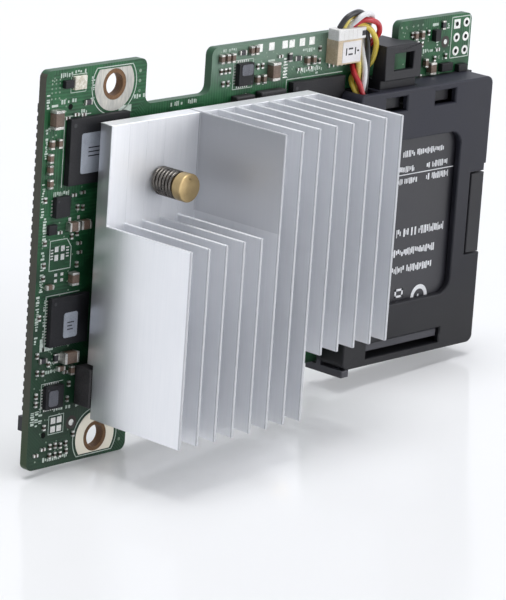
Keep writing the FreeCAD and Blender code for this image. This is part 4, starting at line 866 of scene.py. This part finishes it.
# Battery socket and plug, with the grooves, and a dark slab in the plug's face painted as the
# shadow in its notch.
socketBeige = finish("socketBeige", (198, 176, 146), (226, 210, 186), (0.45, 0.6), grain=5000.0,
                     relief=0.000006, patch=300.0)
plugWhite = finish("plugWhite", (226, 225, 223), (244, 244, 243), (0.4, 0.52), grain=5000.0,
                   relief=0.000005, patch=300.0)
roundedCopy("beige_socket", "battery_socket", socketBeige, 0.12)
roundedCopy("white_plug", "battery_plug", plugWhite, 0.14)
dress("battery_socket_tails", solderEnds)
plugGroove = finish("plugGroove", (214, 212, 210), (230, 228, 226), (0.5, 0.6), patch=300.0)
grooves = bars([(67.9 + i * 1.1, 67.2, 0.14, 1.6) for i in range(4)])
slabs("plug_grooves", [grooves], 3.15, 3.204, plugGroove, "white_plastic")
# painted shadow: a dark slab where the notch at the plug's right end lies in shade
slabs("plug_notch_shadow", [bars([(72.6, 67.5, 0.95, 0.9)])], 3.15, 3.21, labelInk, "dark_label")

# Battery holder and pack.
# the cover's colour darkens towards its bottom: painted shade
holderBlack = finish("holderBlack", (36, 37, 46), (44, 45, 56), (0.46, 0.58), grain=4200.0,
                     relief=0.00001, patch=60.0, Specular_IOR_Level=0.3,
                     lower={"from": 0.016, "to": -0.022, "tone": (22, 22, 26)})
# the tray's foot is made lighter towards the bottom: painted light from the floor
trayBlack = finish("trayBlack", (24, 24, 28), (34, 34, 39), (0.42, 0.56), grain=4200.0,
                   relief=0.00001, patch=60.0, Specular_IOR_Level=0.35,
                   lower={"from": -0.018, "to": -0.024, "tone": (66, 66, 72)})
roundedCopy("holder_cover", "battery_cover", holderBlack, 0.3, segments=3,
            above=6.2)
roundedCopy("holder_tray", "battery_tray", trayBlack, 0.18, above=2.0)
packWrap = finish("packWrap", (30, 30, 35), (44, 44, 50), (0.3, 0.42), grain=2500.0,
                  relief=0.00001, patch=80.0)
roundedCopy("wrapped_pack", "battery_pack", packWrap, 0.0, limit=40.0)
labelBlack = finish("labelBlack", (27, 27, 33), (38, 38, 45), (0.38, 0.5), patch=60.0)
dress("battery_sticker", labelBlack)
dress("battery_guard_board", substrateGreen)
labelWhite = finish("labelWhite", (206, 208, 212), (236, 237, 240), (0.45, 0.55), patch=300.0)
# rows of strokes (left, low, length, tall), a dividing line, a square and part of a ring
printRows = [marks(left, low, length, tall, density=0.9) for left, low, length, tall in (
    (79.9, 44.5, 7.0, 1.2), (87.8, 44.5, 7.1, 1.2), (79.9, 41.7, 7.4, 1.1), (90.7, 41.8, 6.0, 1.2),
    (79.9, 39.5, 8.6, 1.1), (90.8, 39.6, 6.0, 1.2), (79.9, 29.7, 16.8, 1.5),
    (79.9, 26.1, 14.3, 1.4), (79.9, 22.9, 13.9, 1.4), (79.9, 34.0, 1.6, 1.0))]
printRows += [bars([(79.6, 41.2, 18.5, 0.16), (84.6, 18.4, 2.2, 0.4), (84.6, 19.6, 2.2, 0.4),
                    (84.6, 18.4, 0.4, 1.6), (86.4, 18.4, 0.4, 1.6)]),
              hoop(91.3, 17.8, 1.85, 0.8, -15, 250, 30),
              bars([(90.9, 17.4, 0.35, 0.9), (91.4, 17.4, 0.6, 0.25)])]
slabs("battery_label_print", printRows, 4.95, 5.03, labelWhite, "white_label")
print("battery holder dressed")
